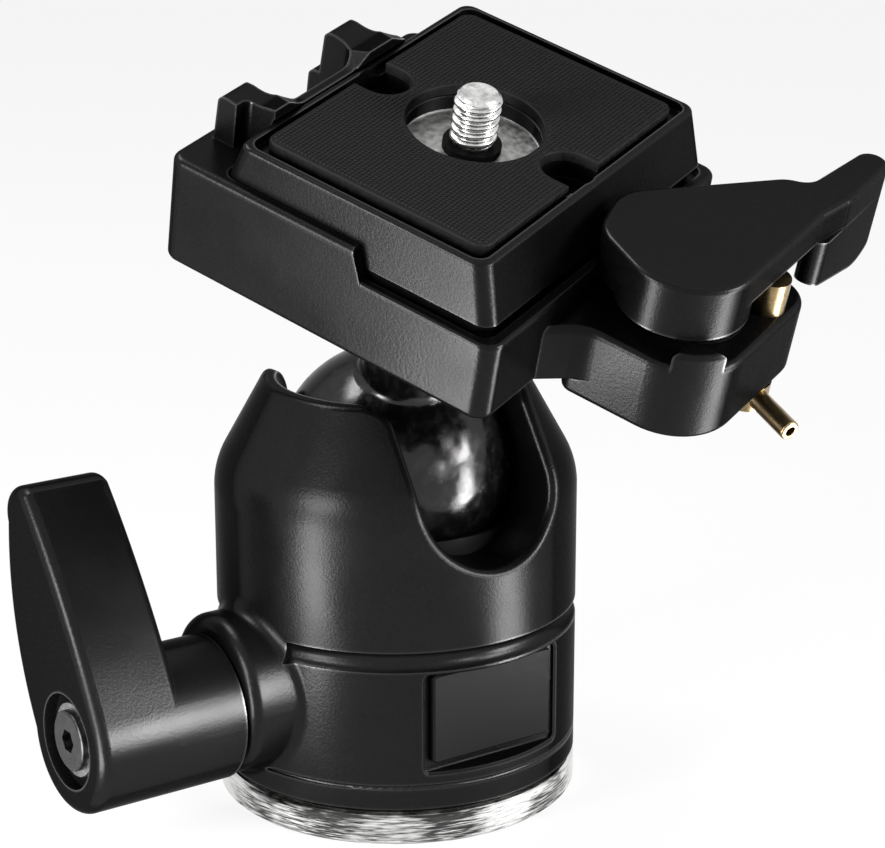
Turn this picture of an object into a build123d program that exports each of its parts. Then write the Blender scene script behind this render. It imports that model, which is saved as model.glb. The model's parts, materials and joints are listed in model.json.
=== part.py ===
# Tripod ball head with a dovetail quick release clamp
import os
from math import cos, hypot, radians, sin, sqrt, tan
from build123d import *

os.makedirs("parts", exist_ok=True)

# Shared gaps, in millimetres
run_gap = 0.05
face_gap = 0.3
seat_gap = 0.05
edge_tol = 0.02
pick_room = 1.0
cut_over = 1.0
root_over = 1.0

# Pose of the clamp on the ball, in degrees
tilt_azimuth = -107.6
tilt_angle = 24.0
spin_angle = 39.2

# Base disc and its spigot
disc_t = 4.4
disc_edge = 0.5
disc_groove_in = 12.0
disc_groove_w = 8.0
disc_groove_d = 0.5
spigot_r = 8.9
thread_r = 4.7625
thread_depth = 8.5
washer_t = 0.48
washer_gap = 0.02
washer_ease = 0.4
washer_inset = 2.5
plug_step = 1.5
plug_t = 3.5
clip_t = 0.95
clip_depth = 0.95
clip_over = 2.1
spigot_lip = 0.85

# Ball, liner and cup
ball_r = 17.6
ball_rise = 13.4
liner_t = 1.0
liner_fit = 0.03
liner_drop = 7.5
liner_hole_r = 3.0
cup_drop = 7.0
cup_floor = 3.32
cup_boss_r = 8.0
neck_r = 7.0
neck_round = 1.6
neck_flange_r = 9.0
neck_flange_t = 3.0
neck_pin_r = 5.0
neck_pin_l = 5.4
neck_bolt_depth = 12.0

# Housing
bore_gap = 0.4
body_wall = 8.5
body_edge = 0.6
rim_height = 13.0
rim_tuck = 0.3
rim_wall = 1.97
rim_round = 1.1
shoulder_drop = 13.02
shoulder_round = 12.0
seat_low = 1.5
seat_top = 8.0
slot_w = 21.8
slot_rise = 1.5
slot_mouth_r = 3.0
ring_z = 27.5
ring_wire_r = 1.6
ring_wire_out = 0.68
ring_stop_angle = 20.5
line_z = 8.8
line_wire_r = 0.35
line_wire_out = 0.1
line_stop_angle = 12.0
badge_w = 20.3
badge_h = 13.1
badge_t = 1.2
badge_z = 18.65
badge_sink = 2.15
badge_seat = 0.02
badge_corner = 0.6
badge_edge = 0.25
recess_side = 1.15
recess_below = 1.3
recess_above = 0.2
recess_corner = 0.8
recess_edge = 0.35

# Lock lever, its shaft and the wedge
lever_z = 18.0
boss_r = 11.6
boss_rise = 1.6
boss_out = 5.2
boss_round = 1.8
boss_edge = 1.8
bush_r = 7.0
bush_over = 0.8
bush_inset = 0.2
stud_r = 4.0
stud_in = 2.0
stud_short = 7.0
stud_groove_d = 0.6
stud_clip_over = 2.5
stud_clip_t = 1.0
wedge_out = 13.0
wedge_in = 9.0
wedge_half_h = 7.0
wedge_half_w = 6.5
wedge_slope_angle = 12.0
wedge_bore_end = 1.0
shoe_r = 8.0
hub_r = 10.5
hub_gap = 0.4
hub_l = 9.2
arm_w = 13.5
arm_lean_x = -16.4
arm_lean_y = 27.5
arm_mid_x = -16.3
arm_mid_y = 16.0
arm_tip_x = -15.0
arm_tip_y = 32.4
arm_top_x = -10.2
arm_top_y = 33.0
arm_bulge_x = -0.2
arm_bulge_y = 20.4
arm_left_angle = 188.0
arm_right_angle = 30.0
arm_round = 1.6
end_recess_r = 6.8
end_recess_d = 1.9
end_washer_r = 5.4
end_washer_t = 0.8
end_head_r = 4.3
end_head_t = 0.9
end_hex = 3.0
end_hex_d = 1.8
end_shank_r = 2.5
end_shank_l = 9.0
end_shank_gap = 1.0

# Camera plate, pad and screw, heights measured from the plate lip
plate_top_u = 37.9
plate_top_v = 51.6
dovetail_u = 2.4
dovetail_v = 0.6
plate_foot_u = 1.1
plate_foot_v = 0.9
plate_wide = -8.0
plate_low = -10.0
plate_corner = 2.0
plate_edge = 0.6
plate_lip = 0.95
pocket_d = 1.2
pocket_corner = 1.8
pad_margin_u = 1.0
pad_margin_v = 1.85
pad_top = 0.6
pad_corner = 1.6
pad_hole_r = 9.2
notch_r = 3.6
notch_in = 2.4
well_d = 3.5
web_low = -6.6
screw_r = 3.175
screw_shank_r = 2.6
screw_thread_low = -2.4
screw_top = 5.0
screw_chamfer = 0.7
screw_head_r = 7.5
screw_head_gap = 1.2
screw_inset = 0.4
screw_slot_w = 1.6
screw_slot_d = 1.2
keeper_r = 3.95
keeper_t = 1.0

# Clamp frame, measured from the centre of the plate lip
deck_height = 60.0
stem_shift = 4.6
frame_left_wall = 7.15
frame_right_wall = 1.95
frame_end_wall = 1.6
frame_bottom = -21.0
frame_corner = 2.4
frame_edge = 1.0
frame_wall = 3.0
rib_t = 2.4
cavity_top = -14.0
wall_top = -5.0
wall_step_u = 1.2
wall_step_run = 1.7
wall_low = -9.3
boss_under_r = 9.5
plate_fit = 0.25
rail_inset = 7.9
rail_w = 1.7
rail_top = -0.1
rail_tail = 3.6
rail_foot_inset = 5.3
claw_inset = 1.4
claw_low = -12.0
claw_top = 1.6
claw_len = 5.2
claw_fall = 3.4
claw_sag = 0.5
claw_front_inset = 5.9
claw_v1 = 2.4
claw_nose = 2.2
claw_draft = 0.6
claw_round = 1.0
claw_web_r = 3.4
claw_post_w = 3.6
claw_notch = 2.2
bolt_head_t = 2.9
bolt_r = 3.2
bolt_hex = 4.0
bolt_hex_d = 2.0
bolt_cone_angle = 45.0
bolt_end_gap = 1.0

# Lug for the release lever, measured from the lever's pivot
pivot_out = 11.7
pivot_v = 1.0
lug_front = -12.7
lug_back = 15.8
lug_right = 10.3
lug_top = -12.5
lug_low = -23.6
lug_round_front = 9.0
lug_round_back = 5.0
lug_blend = 4.0
lug_edge = 1.0
stop_edge = 0.8
rim_edge = 0.6
stop_top = -10.3
stop_u0 = 4.3
stop_v1 = -7.4

# Release lever, measured from its pivot
arm_plate_top = -2.0
arm_plate_low = -6.5
head_u = -0.5
head_v = -2.2
head_r = 8.8
head_low = -9.6
lobe_u = -7.0
lobe_v = 1.2
lobe_r = 6.8
nose_u = -6.6
nose_v = -1.8
nose_r = 6.4
root_u = 3.2
root_v = 17.5
root_r = 5.0
grip_u = 6.2
grip_v = 23.5
grip_r = 3.0
tip_u = 6.7
tip_v = 33.6
tip_r = 2.3
crook_r = 3.0
tab_start_low = -13.2
tab_end_low = -17.7
tab_v0 = 17.2
tab_t = 3.6
tab_round = 6.0
lever_edge = 0.7
skirt_r = 7.2
skirt_gap = 0.2
cam_u = -5.0
cam_r = 8.4
cam_low = -8.9
pivot_r = 3.0
pivot_top = -7.0
pivot_head_r = 5.0
pivot_head_t = 3.0
pivot_hex = 4.0
pivot_hex_d = 1.8
sleeve_t = 1.2
coil_r = 5.7
coil_wire_r = 0.35
coil_pitch = 1.1
coil_turns = 3
coil_pocket_w = 1.2
coil_pocket_top = -8.0

# Safety catch, measured from the lever's pivot
catch_u = 7.0
catch_v = 8.0
catch_shaft_r = 1.8
catch_head_r = 2.4
catch_gap = 1.1
catch_flat = 0.9
catch_flat_h = 2.2
collar_r = 3.1
collar_h = 3.7
pin_r = 1.4
pin_bore_r = 0.75
pin_bore_d = 3.0
pin_angle = -25.0
pin_reach = 10.0
pin_round = 0.3

# Sizes that follow from the ball outwards
ball_z = lever_z + ball_r + ball_rise
bore_r = ball_r + bore_gap
body_r = bore_r + body_wall
disc_r = body_r
rim_in = ball_r - rim_tuck
rim_r = rim_in + rim_wall
plug_r = bore_r + plug_step
spigot_groove_r = spigot_r - clip_depth
clip_out = spigot_r + clip_over
washer_in = spigot_r + washer_ease
washer_out = disc_r - washer_inset
disc_groove_out = disc_groove_in + disc_groove_w
plug_low = disc_t + washer_t + washer_gap
plug_top = plug_low + plug_t
spigot_top = plug_top + clip_t + 2 * run_gap + spigot_lip
seat_r = ball_r + run_gap
liner_in = ball_r + liner_fit
liner_out = liner_in + liner_t
cup_seat_r = liner_out + run_gap
liner_top = ball_z - liner_drop
cup_top = ball_z - cup_drop
cup_bottom = ball_z - cup_seat_r - cup_floor
seat_low_z = ball_z + seat_low
seat_top_z = ball_z + seat_top
rim_z = ball_z + rim_height
shoulder_z = rim_z - shoulder_drop
slot_z = ball_z + slot_rise
badge_y = body_r - badge_sink
recess_w = badge_w + 2 * recess_side
recess_low = badge_z - badge_h / 2 - recess_below
recess_top = badge_z + badge_h / 2 + recess_above

# Places along the lock lever's axis
boss_end = body_r + boss_out
bush_in = bore_r - bush_over
bush_out = boss_end - bush_inset
hub_start = boss_end + hub_gap
arm_start = hub_start + hub_l
arm_end = arm_start + arm_w
stud_out = arm_end - stud_short
stud_groove_r = stud_r - stud_groove_d
stud_clip_r = stud_r + stud_clip_over
rise = tan(radians(wedge_slope_angle))

# Sizes that follow from the plate
plate_max_u = plate_top_u + 2 * dovetail_u
plate_max_v = plate_top_v + 2 * dovetail_v
claw_v0 = claw_front_inset - plate_max_v / 2
plate_low_u = plate_max_u - 2 * plate_foot_u
plate_low_v = plate_max_v - 2 * plate_foot_v
pocket_u = plate_top_u - 2 * plate_lip
pocket_v = plate_top_v - 2 * plate_lip
pad_u = pocket_u - 2 * pad_margin_u
pad_v = pocket_v - 2 * pad_margin_v
notch_u = pad_u / 2 - notch_in
screw_head_low = plate_low + screw_inset
frame_floor = plate_low - seat_gap
frame_left = -plate_max_u / 2 - frame_left_wall
frame_right = plate_max_u / 2 + frame_right_wall
frame_half_v = plate_max_v / 2 + frame_end_wall
rail_out = frame_left + rail_inset
rail_in = rail_out + rail_w
rail_foot = frame_left + rail_foot_inset
claw_out = frame_left + claw_inset
rail_end = claw_v1 + claw_len + rail_tail
claw_saddle = (claw_out + claw_nose + rail_in) / 2
pivot_u = frame_right + pivot_out
sleeve_r = pivot_r + sleeve_t
skirt_low = lug_top + skirt_gap
catch_head_top = arm_plate_low - catch_gap
catch_flat_low = catch_head_top - catch_flat_h
collar_top = lug_low - face_gap
collar_low = collar_top - collar_h

# Frames of the moving groups
tilt_dir = Vector(cos(radians(tilt_azimuth)), sin(radians(tilt_azimuth)), 0)
side_dir = Vector(-sin(radians(tilt_azimuth)), cos(radians(tilt_azimuth)), 0)
up_dir = Vector(0, 0, 1)
ball_centre = Vector(0, 0, ball_z)
stem_dir = tilt_dir * sin(radians(tilt_angle)) + up_dir * cos(radians(tilt_angle))
slope_dir = tilt_dir * cos(radians(tilt_angle)) - up_dir * sin(radians(tilt_angle))
across_dir = slope_dir * cos(radians(spin_angle)) + side_dir * sin(radians(spin_angle))
lip_centre = ball_centre + stem_dir * deck_height + across_dir * stem_shift
ball_place = Plane(origin=ball_centre, x_dir=across_dir, z_dir=stem_dir).location
clamp_place = Plane(origin=lip_centre, x_dir=across_dir, z_dir=stem_dir).location

# The clamp's own axes: u across the plate, v along it, w up from its lip
deck = Plane.XY
deck_u = deck.x_dir
deck_v = deck.y_dir
deck_w = deck.z_dir
deck_axis = Axis.Z
hinge = Plane(origin=(pivot_u, pivot_v, 0))
hinge_end = Plane(origin=hinge.origin, x_dir=deck_v, z_dir=deck_u)
catch_post = Plane(origin=(pivot_u + catch_u, pivot_v + catch_v, 0))

# Planes on the body
lever_face = Plane(origin=(0, 0, lever_z), x_dir=(0, -1, 0), z_dir=(-1, 0, 0))
front_face = Plane(origin=(0, 0, 0), x_dir=(1, 0, 0), z_dir=(0, -1, 0))


def ring_start(stop_angle):
    """Upright plane from the pan axis, turned off the lever's axis by the given angle."""
    a = radians(180 + stop_angle)
    return Plane(origin=(0, 0, 0), x_dir=(cos(a), sin(a), 0), z_dir=(sin(a), -cos(a), 0))


def deck_side(v):
    """Upright plane across the clamp at the given v."""
    return Plane(origin=(0, v, 0), x_dir=deck_u, z_dir=deck_v * -1)


def level_edges(edges, level, keep):
    """Edges that lie flat at one height over the deck and pass the test on u and v."""
    found = []
    for e in edges:
        heights = [(e @ t).Z for t in (0, 0.5, 1)]
        middle = e @ 0.5
        if max(abs(h - level) for h in heights) < edge_tol and keep(middle.X, middle.Y):
            found.append(e)
    return found


# Base disc with spigot and tripod thread
with BuildPart() as base_disc:
    with BuildSketch():
        Circle(disc_r)
    extrude(amount=disc_t)
    chamfer(base_disc.edges().filter_by(GeomType.CIRCLE), disc_edge)
    with BuildSketch():
        Circle(disc_groove_out)
        Circle(disc_groove_in, mode=Mode.SUBTRACT)
    extrude(amount=disc_groove_d, mode=Mode.SUBTRACT)
    with BuildSketch(Plane.XY.offset(disc_t)):
        Circle(spigot_r)
    extrude(amount=spigot_top - disc_t)
    with BuildSketch(Plane.XY.offset(plug_top + run_gap / 2)):
        Circle(spigot_r + run_gap)
        Circle(spigot_groove_r, mode=Mode.SUBTRACT)
    extrude(amount=clip_t + run_gap, mode=Mode.SUBTRACT)
    with BuildSketch():
        Circle(thread_r)
    extrude(amount=thread_depth, mode=Mode.SUBTRACT)
base_disc.part.label = "base_disc"
export_step(base_disc.part, "parts/base_disc.step")

# Bearing washer on the disc
with BuildPart() as pan_washer:
    with BuildSketch(Plane.XY.offset(disc_t)):
        Circle(washer_out)
        Circle(washer_in, mode=Mode.SUBTRACT)
    extrude(amount=washer_t)
pan_washer.part.label = "pan_washer"
export_step(pan_washer.part, "parts/pan_washer.step")

# Split ring in the spigot groove
with BuildPart() as base_circlip:
    with BuildSketch(Plane.XY.offset(plug_top + run_gap)):
        Circle(clip_out)
        Circle(spigot_groove_r + run_gap, mode=Mode.SUBTRACT)
        with Locations((clip_out, 0)):
            Rectangle(clip_out, clip_t * 2, mode=Mode.SUBTRACT)
    extrude(amount=clip_t - run_gap)
base_circlip.part.label = "base_circlip"
export_step(base_circlip.part, "parts/base_circlip.step")

# Bottom plug that carries the spigot
with BuildPart() as bearing_plate:
    with BuildSketch(Plane.XY.offset(plug_low)):
        Circle(plug_r)
        Circle(spigot_r + run_gap, mode=Mode.SUBTRACT)
    extrude(amount=plug_t)
bearing_plate.part.label = "bearing_plate"
export_step(bearing_plate.part, "parts/bearing_plate.step")

# Housing: turned body, ball seat, notch, lever boss and badge seat
seat_top_r = sqrt(seat_r**2 - (seat_top_z - ball_z) ** 2)
seat_low_r = sqrt(seat_r**2 - (seat_low_z - ball_z) ** 2)
seat_mid_z = (seat_low_z + seat_top_z) / 2
seat_mid_r = sqrt(seat_r**2 - (seat_mid_z - ball_z) ** 2)
with BuildPart() as housing:
    with BuildSketch(Plane.XZ) as body_profile:
        Polygon(
            (0, plug_low),
            (body_r - body_edge, plug_low),
            (body_r, plug_low + body_edge),
            (body_r, shoulder_z),
            (rim_r, rim_z),
            (0, rim_z),
            align=None,
        )
        fillet(body_profile.vertices().sort_by_distance((body_r, shoulder_z, 0))[0], shoulder_round)
    revolve(axis=Axis.Z)
    with BuildSketch(lever_face):
        with Locations((0, boss_rise)):
            Circle(boss_r)
    extrude(amount=boss_end)
    boss_reach = boss_r + pick_room
    boss_edges = [
        e
        for e in housing.edges(Select.LAST)
        if (e @ 0.5).X > -body_r - boss_round / 2 and abs((e @ 0.5).Z - lever_z - boss_rise) < boss_reach
    ]
    fillet(boss_edges, boss_round)
    fillet(housing.faces().sort_by(Axis.X)[0].edges(), boss_edge)
    with BuildSketch(Plane.XZ):
        with BuildLine():
            Polyline(
                (seat_low_r, seat_low_z),
                (bore_r, seat_low_z),
                (bore_r, plug_top),
                (plug_r + run_gap, plug_top),
                (plug_r + run_gap, plug_low),
                (0, plug_low),
                (0, rim_z),
                (rim_in, rim_z),
                (seat_top_r, seat_top_z),
            )
            ThreePointArc((seat_top_r, seat_top_z), (seat_mid_r, seat_mid_z), (seat_low_r, seat_low_z))
        make_face()
    revolve(axis=Axis.Z, mode=Mode.SUBTRACT)
    with BuildSketch(front_face) as slot_plan:
        with Locations((0, slot_z)):
            Circle(slot_w / 2)
            Rectangle(slot_w, rim_z, align=(Align.CENTER, Align.MIN))
        with Locations((0, rim_z)):
            Rectangle(2 * body_r, rim_z, align=(Align.CENTER, Align.MIN))
        for side in (-1, 1):
            mouth = slot_plan.vertices().sort_by_distance((side * slot_w / 2, rim_z, 0))[0]
            fillet(mouth, slot_mouth_r)
    extrude(amount=body_r * 2, both=True, mode=Mode.SUBTRACT)
    outer_lip = [
        e
        for e in housing.edges()
        if (e @ 0.5).Z > slot_z - slot_w / 2 - pick_room
        and hypot((e @ 0.5).X, (e @ 0.5).Y) > (bore_r + rim_r) / 2
        and (abs((e @ 0.5).X) < slot_w / 2 + slot_mouth_r + edge_tol or abs((e @ 0.5).Z - rim_z) < edge_tol)
        and max(abs((e @ t).X) for t in (0, 1)) < rim_r + edge_tol
    ]
    fillet(outer_lip, rim_round)
    with BuildSketch(ring_start(ring_stop_angle)):
        with Locations((body_r + ring_wire_out, ring_z)):
            Circle(ring_wire_r)
    revolve(axis=Axis.Z, revolution_arc=360 - 2 * ring_stop_angle, mode=Mode.SUBTRACT)
    with BuildSketch(ring_start(line_stop_angle)):
        with Locations((body_r + line_wire_out, line_z)):
            Circle(line_wire_r)
    revolve(axis=Axis.Z, revolution_arc=360 - 2 * line_stop_angle, mode=Mode.SUBTRACT)
    with BuildSketch(lever_face.offset(boss_end)):
        Circle(bush_r + run_gap / 2)
    extrude(amount=-boss_end, mode=Mode.SUBTRACT)
    with BuildSketch(front_face.offset(badge_y - badge_t)):
        with Locations((0, (recess_low + recess_top) / 2)):
            RectangleRounded(recess_w, recess_top - recess_low, recess_corner)
    extrude(amount=body_r - badge_y + badge_t, mode=Mode.SUBTRACT)
    recess_rim = [
        e
        for e in housing.edges(Select.LAST)
        if max(abs((e @ t).X ** 2 + (e @ t).Y ** 2 - body_r**2) for t in (0, 0.5, 1)) < edge_tol
    ]
    chamfer(recess_rim, recess_edge)
housing.part.label = "housing"
export_step(housing.part, "parts/housing.step")

# Plain badge plate
with BuildPart() as badge_plate:
    with BuildSketch(front_face.offset(badge_y - badge_t + badge_seat)):
        with Locations((0, badge_z)):
            RectangleRounded(badge_w, badge_h, badge_corner)
    extrude(amount=badge_t)
    chamfer(badge_plate.faces().sort_by(Axis.Y)[0].edges(), badge_edge)
badge_plate.part.label = "badge_plate"
export_step(badge_plate.part, "parts/badge_plate.step")

# Bush in the lever boss
with BuildPart() as clamp_bush:
    with BuildSketch(lever_face.offset(bush_in)):
        Circle(bush_r)
        Circle(stud_r + run_gap, mode=Mode.SUBTRACT)
    extrude(amount=bush_out - bush_in)
clamp_bush.part.label = "clamp_bush"
export_step(clamp_bush.part, "parts/clamp_bush.step")

# Shaft turned by the lock lever
clip_s = bush_in - run_gap - stud_clip_t
with BuildPart() as clamp_stud:
    with BuildSketch(lever_face.offset(stud_in)):
        Circle(stud_r)
    extrude(amount=stud_out - stud_in)
    with BuildSketch(lever_face.offset(clip_s - run_gap / 2)):
        Circle(stud_r + run_gap)
        Circle(stud_groove_r, mode=Mode.SUBTRACT)
    extrude(amount=stud_clip_t + run_gap, mode=Mode.SUBTRACT)
    with BuildSketch(lever_face.offset(stud_out)):
        Circle(end_shank_r + run_gap)
    extrude(amount=-end_shank_l, mode=Mode.SUBTRACT)
clamp_stud.part.label = "clamp_stud"
export_step(clamp_stud.part, "parts/clamp_stud.step")

# Ring that keeps the shaft in the bush
with BuildPart() as stud_clip:
    with BuildSketch(lever_face.offset(clip_s)):
        Circle(stud_clip_r)
        Circle(stud_groove_r + run_gap, mode=Mode.SUBTRACT)
        with Locations((0, -stud_clip_r)):
            Rectangle(stud_clip_t * 2, stud_clip_r, mode=Mode.SUBTRACT)
    extrude(amount=stud_clip_t)
stud_clip.part.label = "stud_clip"
export_step(stud_clip.part, "parts/stud_clip.step")

# Wedge nut: threaded on the shaft, tapered on both faces
wedge_len = wedge_out + wedge_in
wedge_tip_h = wedge_half_h - wedge_len * rise
with BuildPart() as wedge_nut:
    with BuildSketch(Plane.XZ):
        with Locations((0, lever_z)):
            Polygon(
                (-wedge_out, -wedge_half_h),
                (wedge_in, -wedge_tip_h),
                (wedge_in, wedge_tip_h),
                (-wedge_out, wedge_half_h),
                align=None,
            )
    extrude(amount=wedge_half_w, both=True)
    with BuildSketch(lever_face.offset(-wedge_bore_end)):
        Circle(stud_r + run_gap)
    extrude(amount=wedge_out + wedge_bore_end, mode=Mode.SUBTRACT)
wedge_nut.part.label = "wedge_nut"
export_step(wedge_nut.part, "parts/wedge_nut.step")

# Brake shoe between the wedge and the spigot
shoe_low = spigot_top + run_gap
with BuildPart() as brake_shoe:
    with BuildSketch(Plane.XY.offset(shoe_low)):
        Circle(shoe_r)
    extrude(amount=lever_z - shoe_low)
    with BuildSketch(Plane.XZ):
        with Locations((0, lever_z - run_gap)):
            Polygon(
                (-wedge_out, -wedge_half_h),
                (wedge_in, -wedge_tip_h),
                (wedge_in, wedge_half_h),
                (-wedge_out, wedge_half_h),
                align=None,
            )
    extrude(amount=shoe_r * 2, both=True, mode=Mode.SUBTRACT)
brake_shoe.part.label = "brake_shoe"
export_step(brake_shoe.part, "parts/brake_shoe.step")

# Cup pressed up under the ball
with BuildPart() as ball_cup:
    with BuildSketch(Plane.XY.offset(cup_bottom)):
        Circle(bore_r - run_gap)
    extrude(amount=cup_top - cup_bottom)
    with BuildSketch(Plane.XY.offset(lever_z)):
        Circle(cup_boss_r)
    extrude(amount=cup_bottom - lever_z)
    with BuildSketch(Plane.XZ):
        with Locations((0, lever_z + run_gap)):
            Polygon(
                (-wedge_out, -wedge_half_h),
                (wedge_in, -wedge_half_h),
                (wedge_in, wedge_tip_h),
                (-wedge_out, wedge_half_h),
                align=None,
            )
    extrude(amount=cup_boss_r * 2, both=True, mode=Mode.SUBTRACT)
    with Locations((0, 0, ball_z)):
        Sphere(cup_seat_r, mode=Mode.SUBTRACT)
ball_cup.part.label = "ball_cup"
export_step(ball_cup.part, "parts/ball_cup.step")

# Thin liner under the ball
with BuildPart() as ball_liner:
    with BuildSketch(Plane.XZ):
        with Locations((0, ball_z)):
            Circle(liner_out)
            Circle(liner_in, mode=Mode.SUBTRACT)
        with Locations((liner_hole_r, liner_top)):
            Rectangle(liner_out, liner_out, align=(Align.MIN, Align.MAX), mode=Mode.INTERSECT)
    revolve(axis=Axis.Z)
ball_liner.part.label = "ball_liner"
export_step(ball_liner.part, "parts/ball_liner.step")

# Ball with its neck
neck_end = deck_height + frame_bottom - seat_gap
with BuildPart() as ball:
    Sphere(ball_r)
    with BuildSketch():
        Circle(neck_r)
    extrude(amount=neck_end)
    neck_root = [
        e
        for e in ball.edges(Select.LAST).filter_by(GeomType.CIRCLE)
        if (e @ 0.5).length < ball_r + pick_room
    ]
    fillet(neck_root, neck_round)
    with BuildSketch(Plane.XY.offset(neck_end - neck_flange_t)):
        Circle(neck_flange_r)
    extrude(amount=neck_flange_t)
    with BuildSketch(Plane.XY.offset(neck_end)):
        Circle(neck_pin_r)
    extrude(amount=neck_pin_l)
    with BuildSketch(Plane.XY.offset(neck_end + neck_pin_l)):
        Circle(bolt_r + run_gap)
    extrude(amount=-neck_bolt_depth, mode=Mode.SUBTRACT)
ball.part.location = ball_place
ball.part.label = "ball"
export_step(ball.part, "parts/ball.step")

# Lock lever: hub, leaning wing and end recess
arm_left = (hub_r * cos(radians(arm_left_angle)), hub_r * sin(radians(arm_left_angle)))
arm_right = (hub_r * cos(radians(arm_right_angle)), hub_r * sin(radians(arm_right_angle)))
arm_low_angle = radians((arm_left_angle + arm_right_angle + 360) / 2)
arm_low = (hub_r * cos(arm_low_angle), hub_r * sin(arm_low_angle))
with BuildPart() as lock_lever:
    with BuildSketch(lever_face.offset(arm_start)):
        with BuildLine():
            Spline(arm_left, (arm_mid_x, arm_mid_y), (arm_lean_x, arm_lean_y))
            ThreePointArc((arm_lean_x, arm_lean_y), (arm_tip_x, arm_tip_y), (arm_top_x, arm_top_y))
            ThreePointArc((arm_top_x, arm_top_y), (arm_bulge_x, arm_bulge_y), arm_right)
            ThreePointArc(arm_right, arm_low, arm_left)
        make_face()
    extrude(amount=arm_end - arm_start)
    fillet(lock_lever.faces().sort_by(Axis.X)[0].edges(), arm_round)
    fillet(lock_lever.faces().sort_by(Axis.X)[-1].edges(), arm_round)
    with BuildSketch(lever_face.offset(hub_start)):
        Circle(hub_r)
    extrude(amount=arm_start + arm_round - hub_start)
    with BuildSketch(lever_face.offset(arm_end)):
        Circle(end_recess_r)
    extrude(amount=-end_recess_d, mode=Mode.SUBTRACT)
    with BuildSketch(lever_face.offset(arm_end)):
        Circle(end_shank_r + run_gap)
    extrude(amount=hub_start - arm_end, mode=Mode.SUBTRACT)
    with BuildSketch(lever_face.offset(hub_start)):
        Circle(stud_r + run_gap / 2)
    extrude(amount=stud_out + run_gap - hub_start, mode=Mode.SUBTRACT)
lock_lever.part.label = "lock_lever"
export_step(lock_lever.part, "parts/lock_lever.step")

# Washer in the lever end
washer_s = arm_end - end_recess_d
with BuildPart() as lever_washer:
    with BuildSketch(lever_face.offset(washer_s)):
        Circle(end_washer_r)
        Circle(end_shank_r + run_gap, mode=Mode.SUBTRACT)
    extrude(amount=end_washer_t)
    chamfer(lever_washer.faces().sort_by(Axis.X)[0].edges(), end_washer_t / 4)
lever_washer.part.label = "lever_washer"
export_step(lever_washer.part, "parts/lever_washer.step")

# Socket screw in the lever end
head_s = washer_s + end_washer_t
with BuildPart() as lever_screw:
    with BuildSketch(lever_face.offset(stud_out - end_shank_l + end_shank_gap)):
        Circle(end_shank_r)
    extrude(amount=head_s - stud_out + end_shank_l - end_shank_gap)
    with BuildSketch(lever_face.offset(head_s)):
        Circle(end_head_r)
    extrude(amount=end_head_t)
    fillet(lever_screw.faces().sort_by(Axis.X)[0].edges(), end_washer_t / 2)
    with BuildSketch(lever_face.offset(head_s + end_head_t)):
        RegularPolygon(end_hex / 2, 6, major_radius=False)
    extrude(amount=-end_hex_d, mode=Mode.SUBTRACT)
lever_screw.part.label = "lever_screw"
export_step(lever_screw.part, "parts/lever_screw.step")

# Dovetail space that the plate fills in the clamp
with BuildPart() as plate_space:
    with BuildSketch(deck.offset(plate_fit)):
        RectangleRounded(plate_top_u + plate_fit, plate_top_v + plate_fit, plate_corner)
    with BuildSketch(deck.offset(plate_wide)):
        RectangleRounded(plate_max_u + 2 * plate_fit, plate_max_v + 2 * plate_fit, plate_corner)
    loft()
    with BuildSketch(deck.offset(plate_wide)):
        RectangleRounded(plate_max_u + 2 * plate_fit, plate_max_v + 2 * plate_fit, plate_corner)
    extrude(amount=frame_floor - plate_wide)

# Raised wall of the claw side with its step
frame_mid = (frame_left + frame_right) / 2
frame_width = frame_right - frame_left
cavity_u = frame_width - 2 * frame_wall
cavity_v = 2 * (frame_half_v - frame_wall)
with BuildPart() as claw_wall:
    with BuildSketch(deck_side(0)):
        Polygon(
            (frame_left, frame_floor - root_over),
            (frame_right + cut_over, frame_floor - root_over),
            (frame_right + cut_over, wall_low),
            (wall_step_u + wall_step_run, wall_low),
            (wall_step_u, wall_top),
            (frame_left, wall_top),
            align=None,
        )
    extrude(amount=frame_half_v, both=True)
    with BuildSketch(deck.offset(frame_bottom)):
        with Locations((frame_mid, 0)):
            RectangleRounded(frame_width, 2 * frame_half_v, frame_corner)
    extrude(amount=-frame_bottom + claw_top, mode=Mode.INTERSECT)

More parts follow.
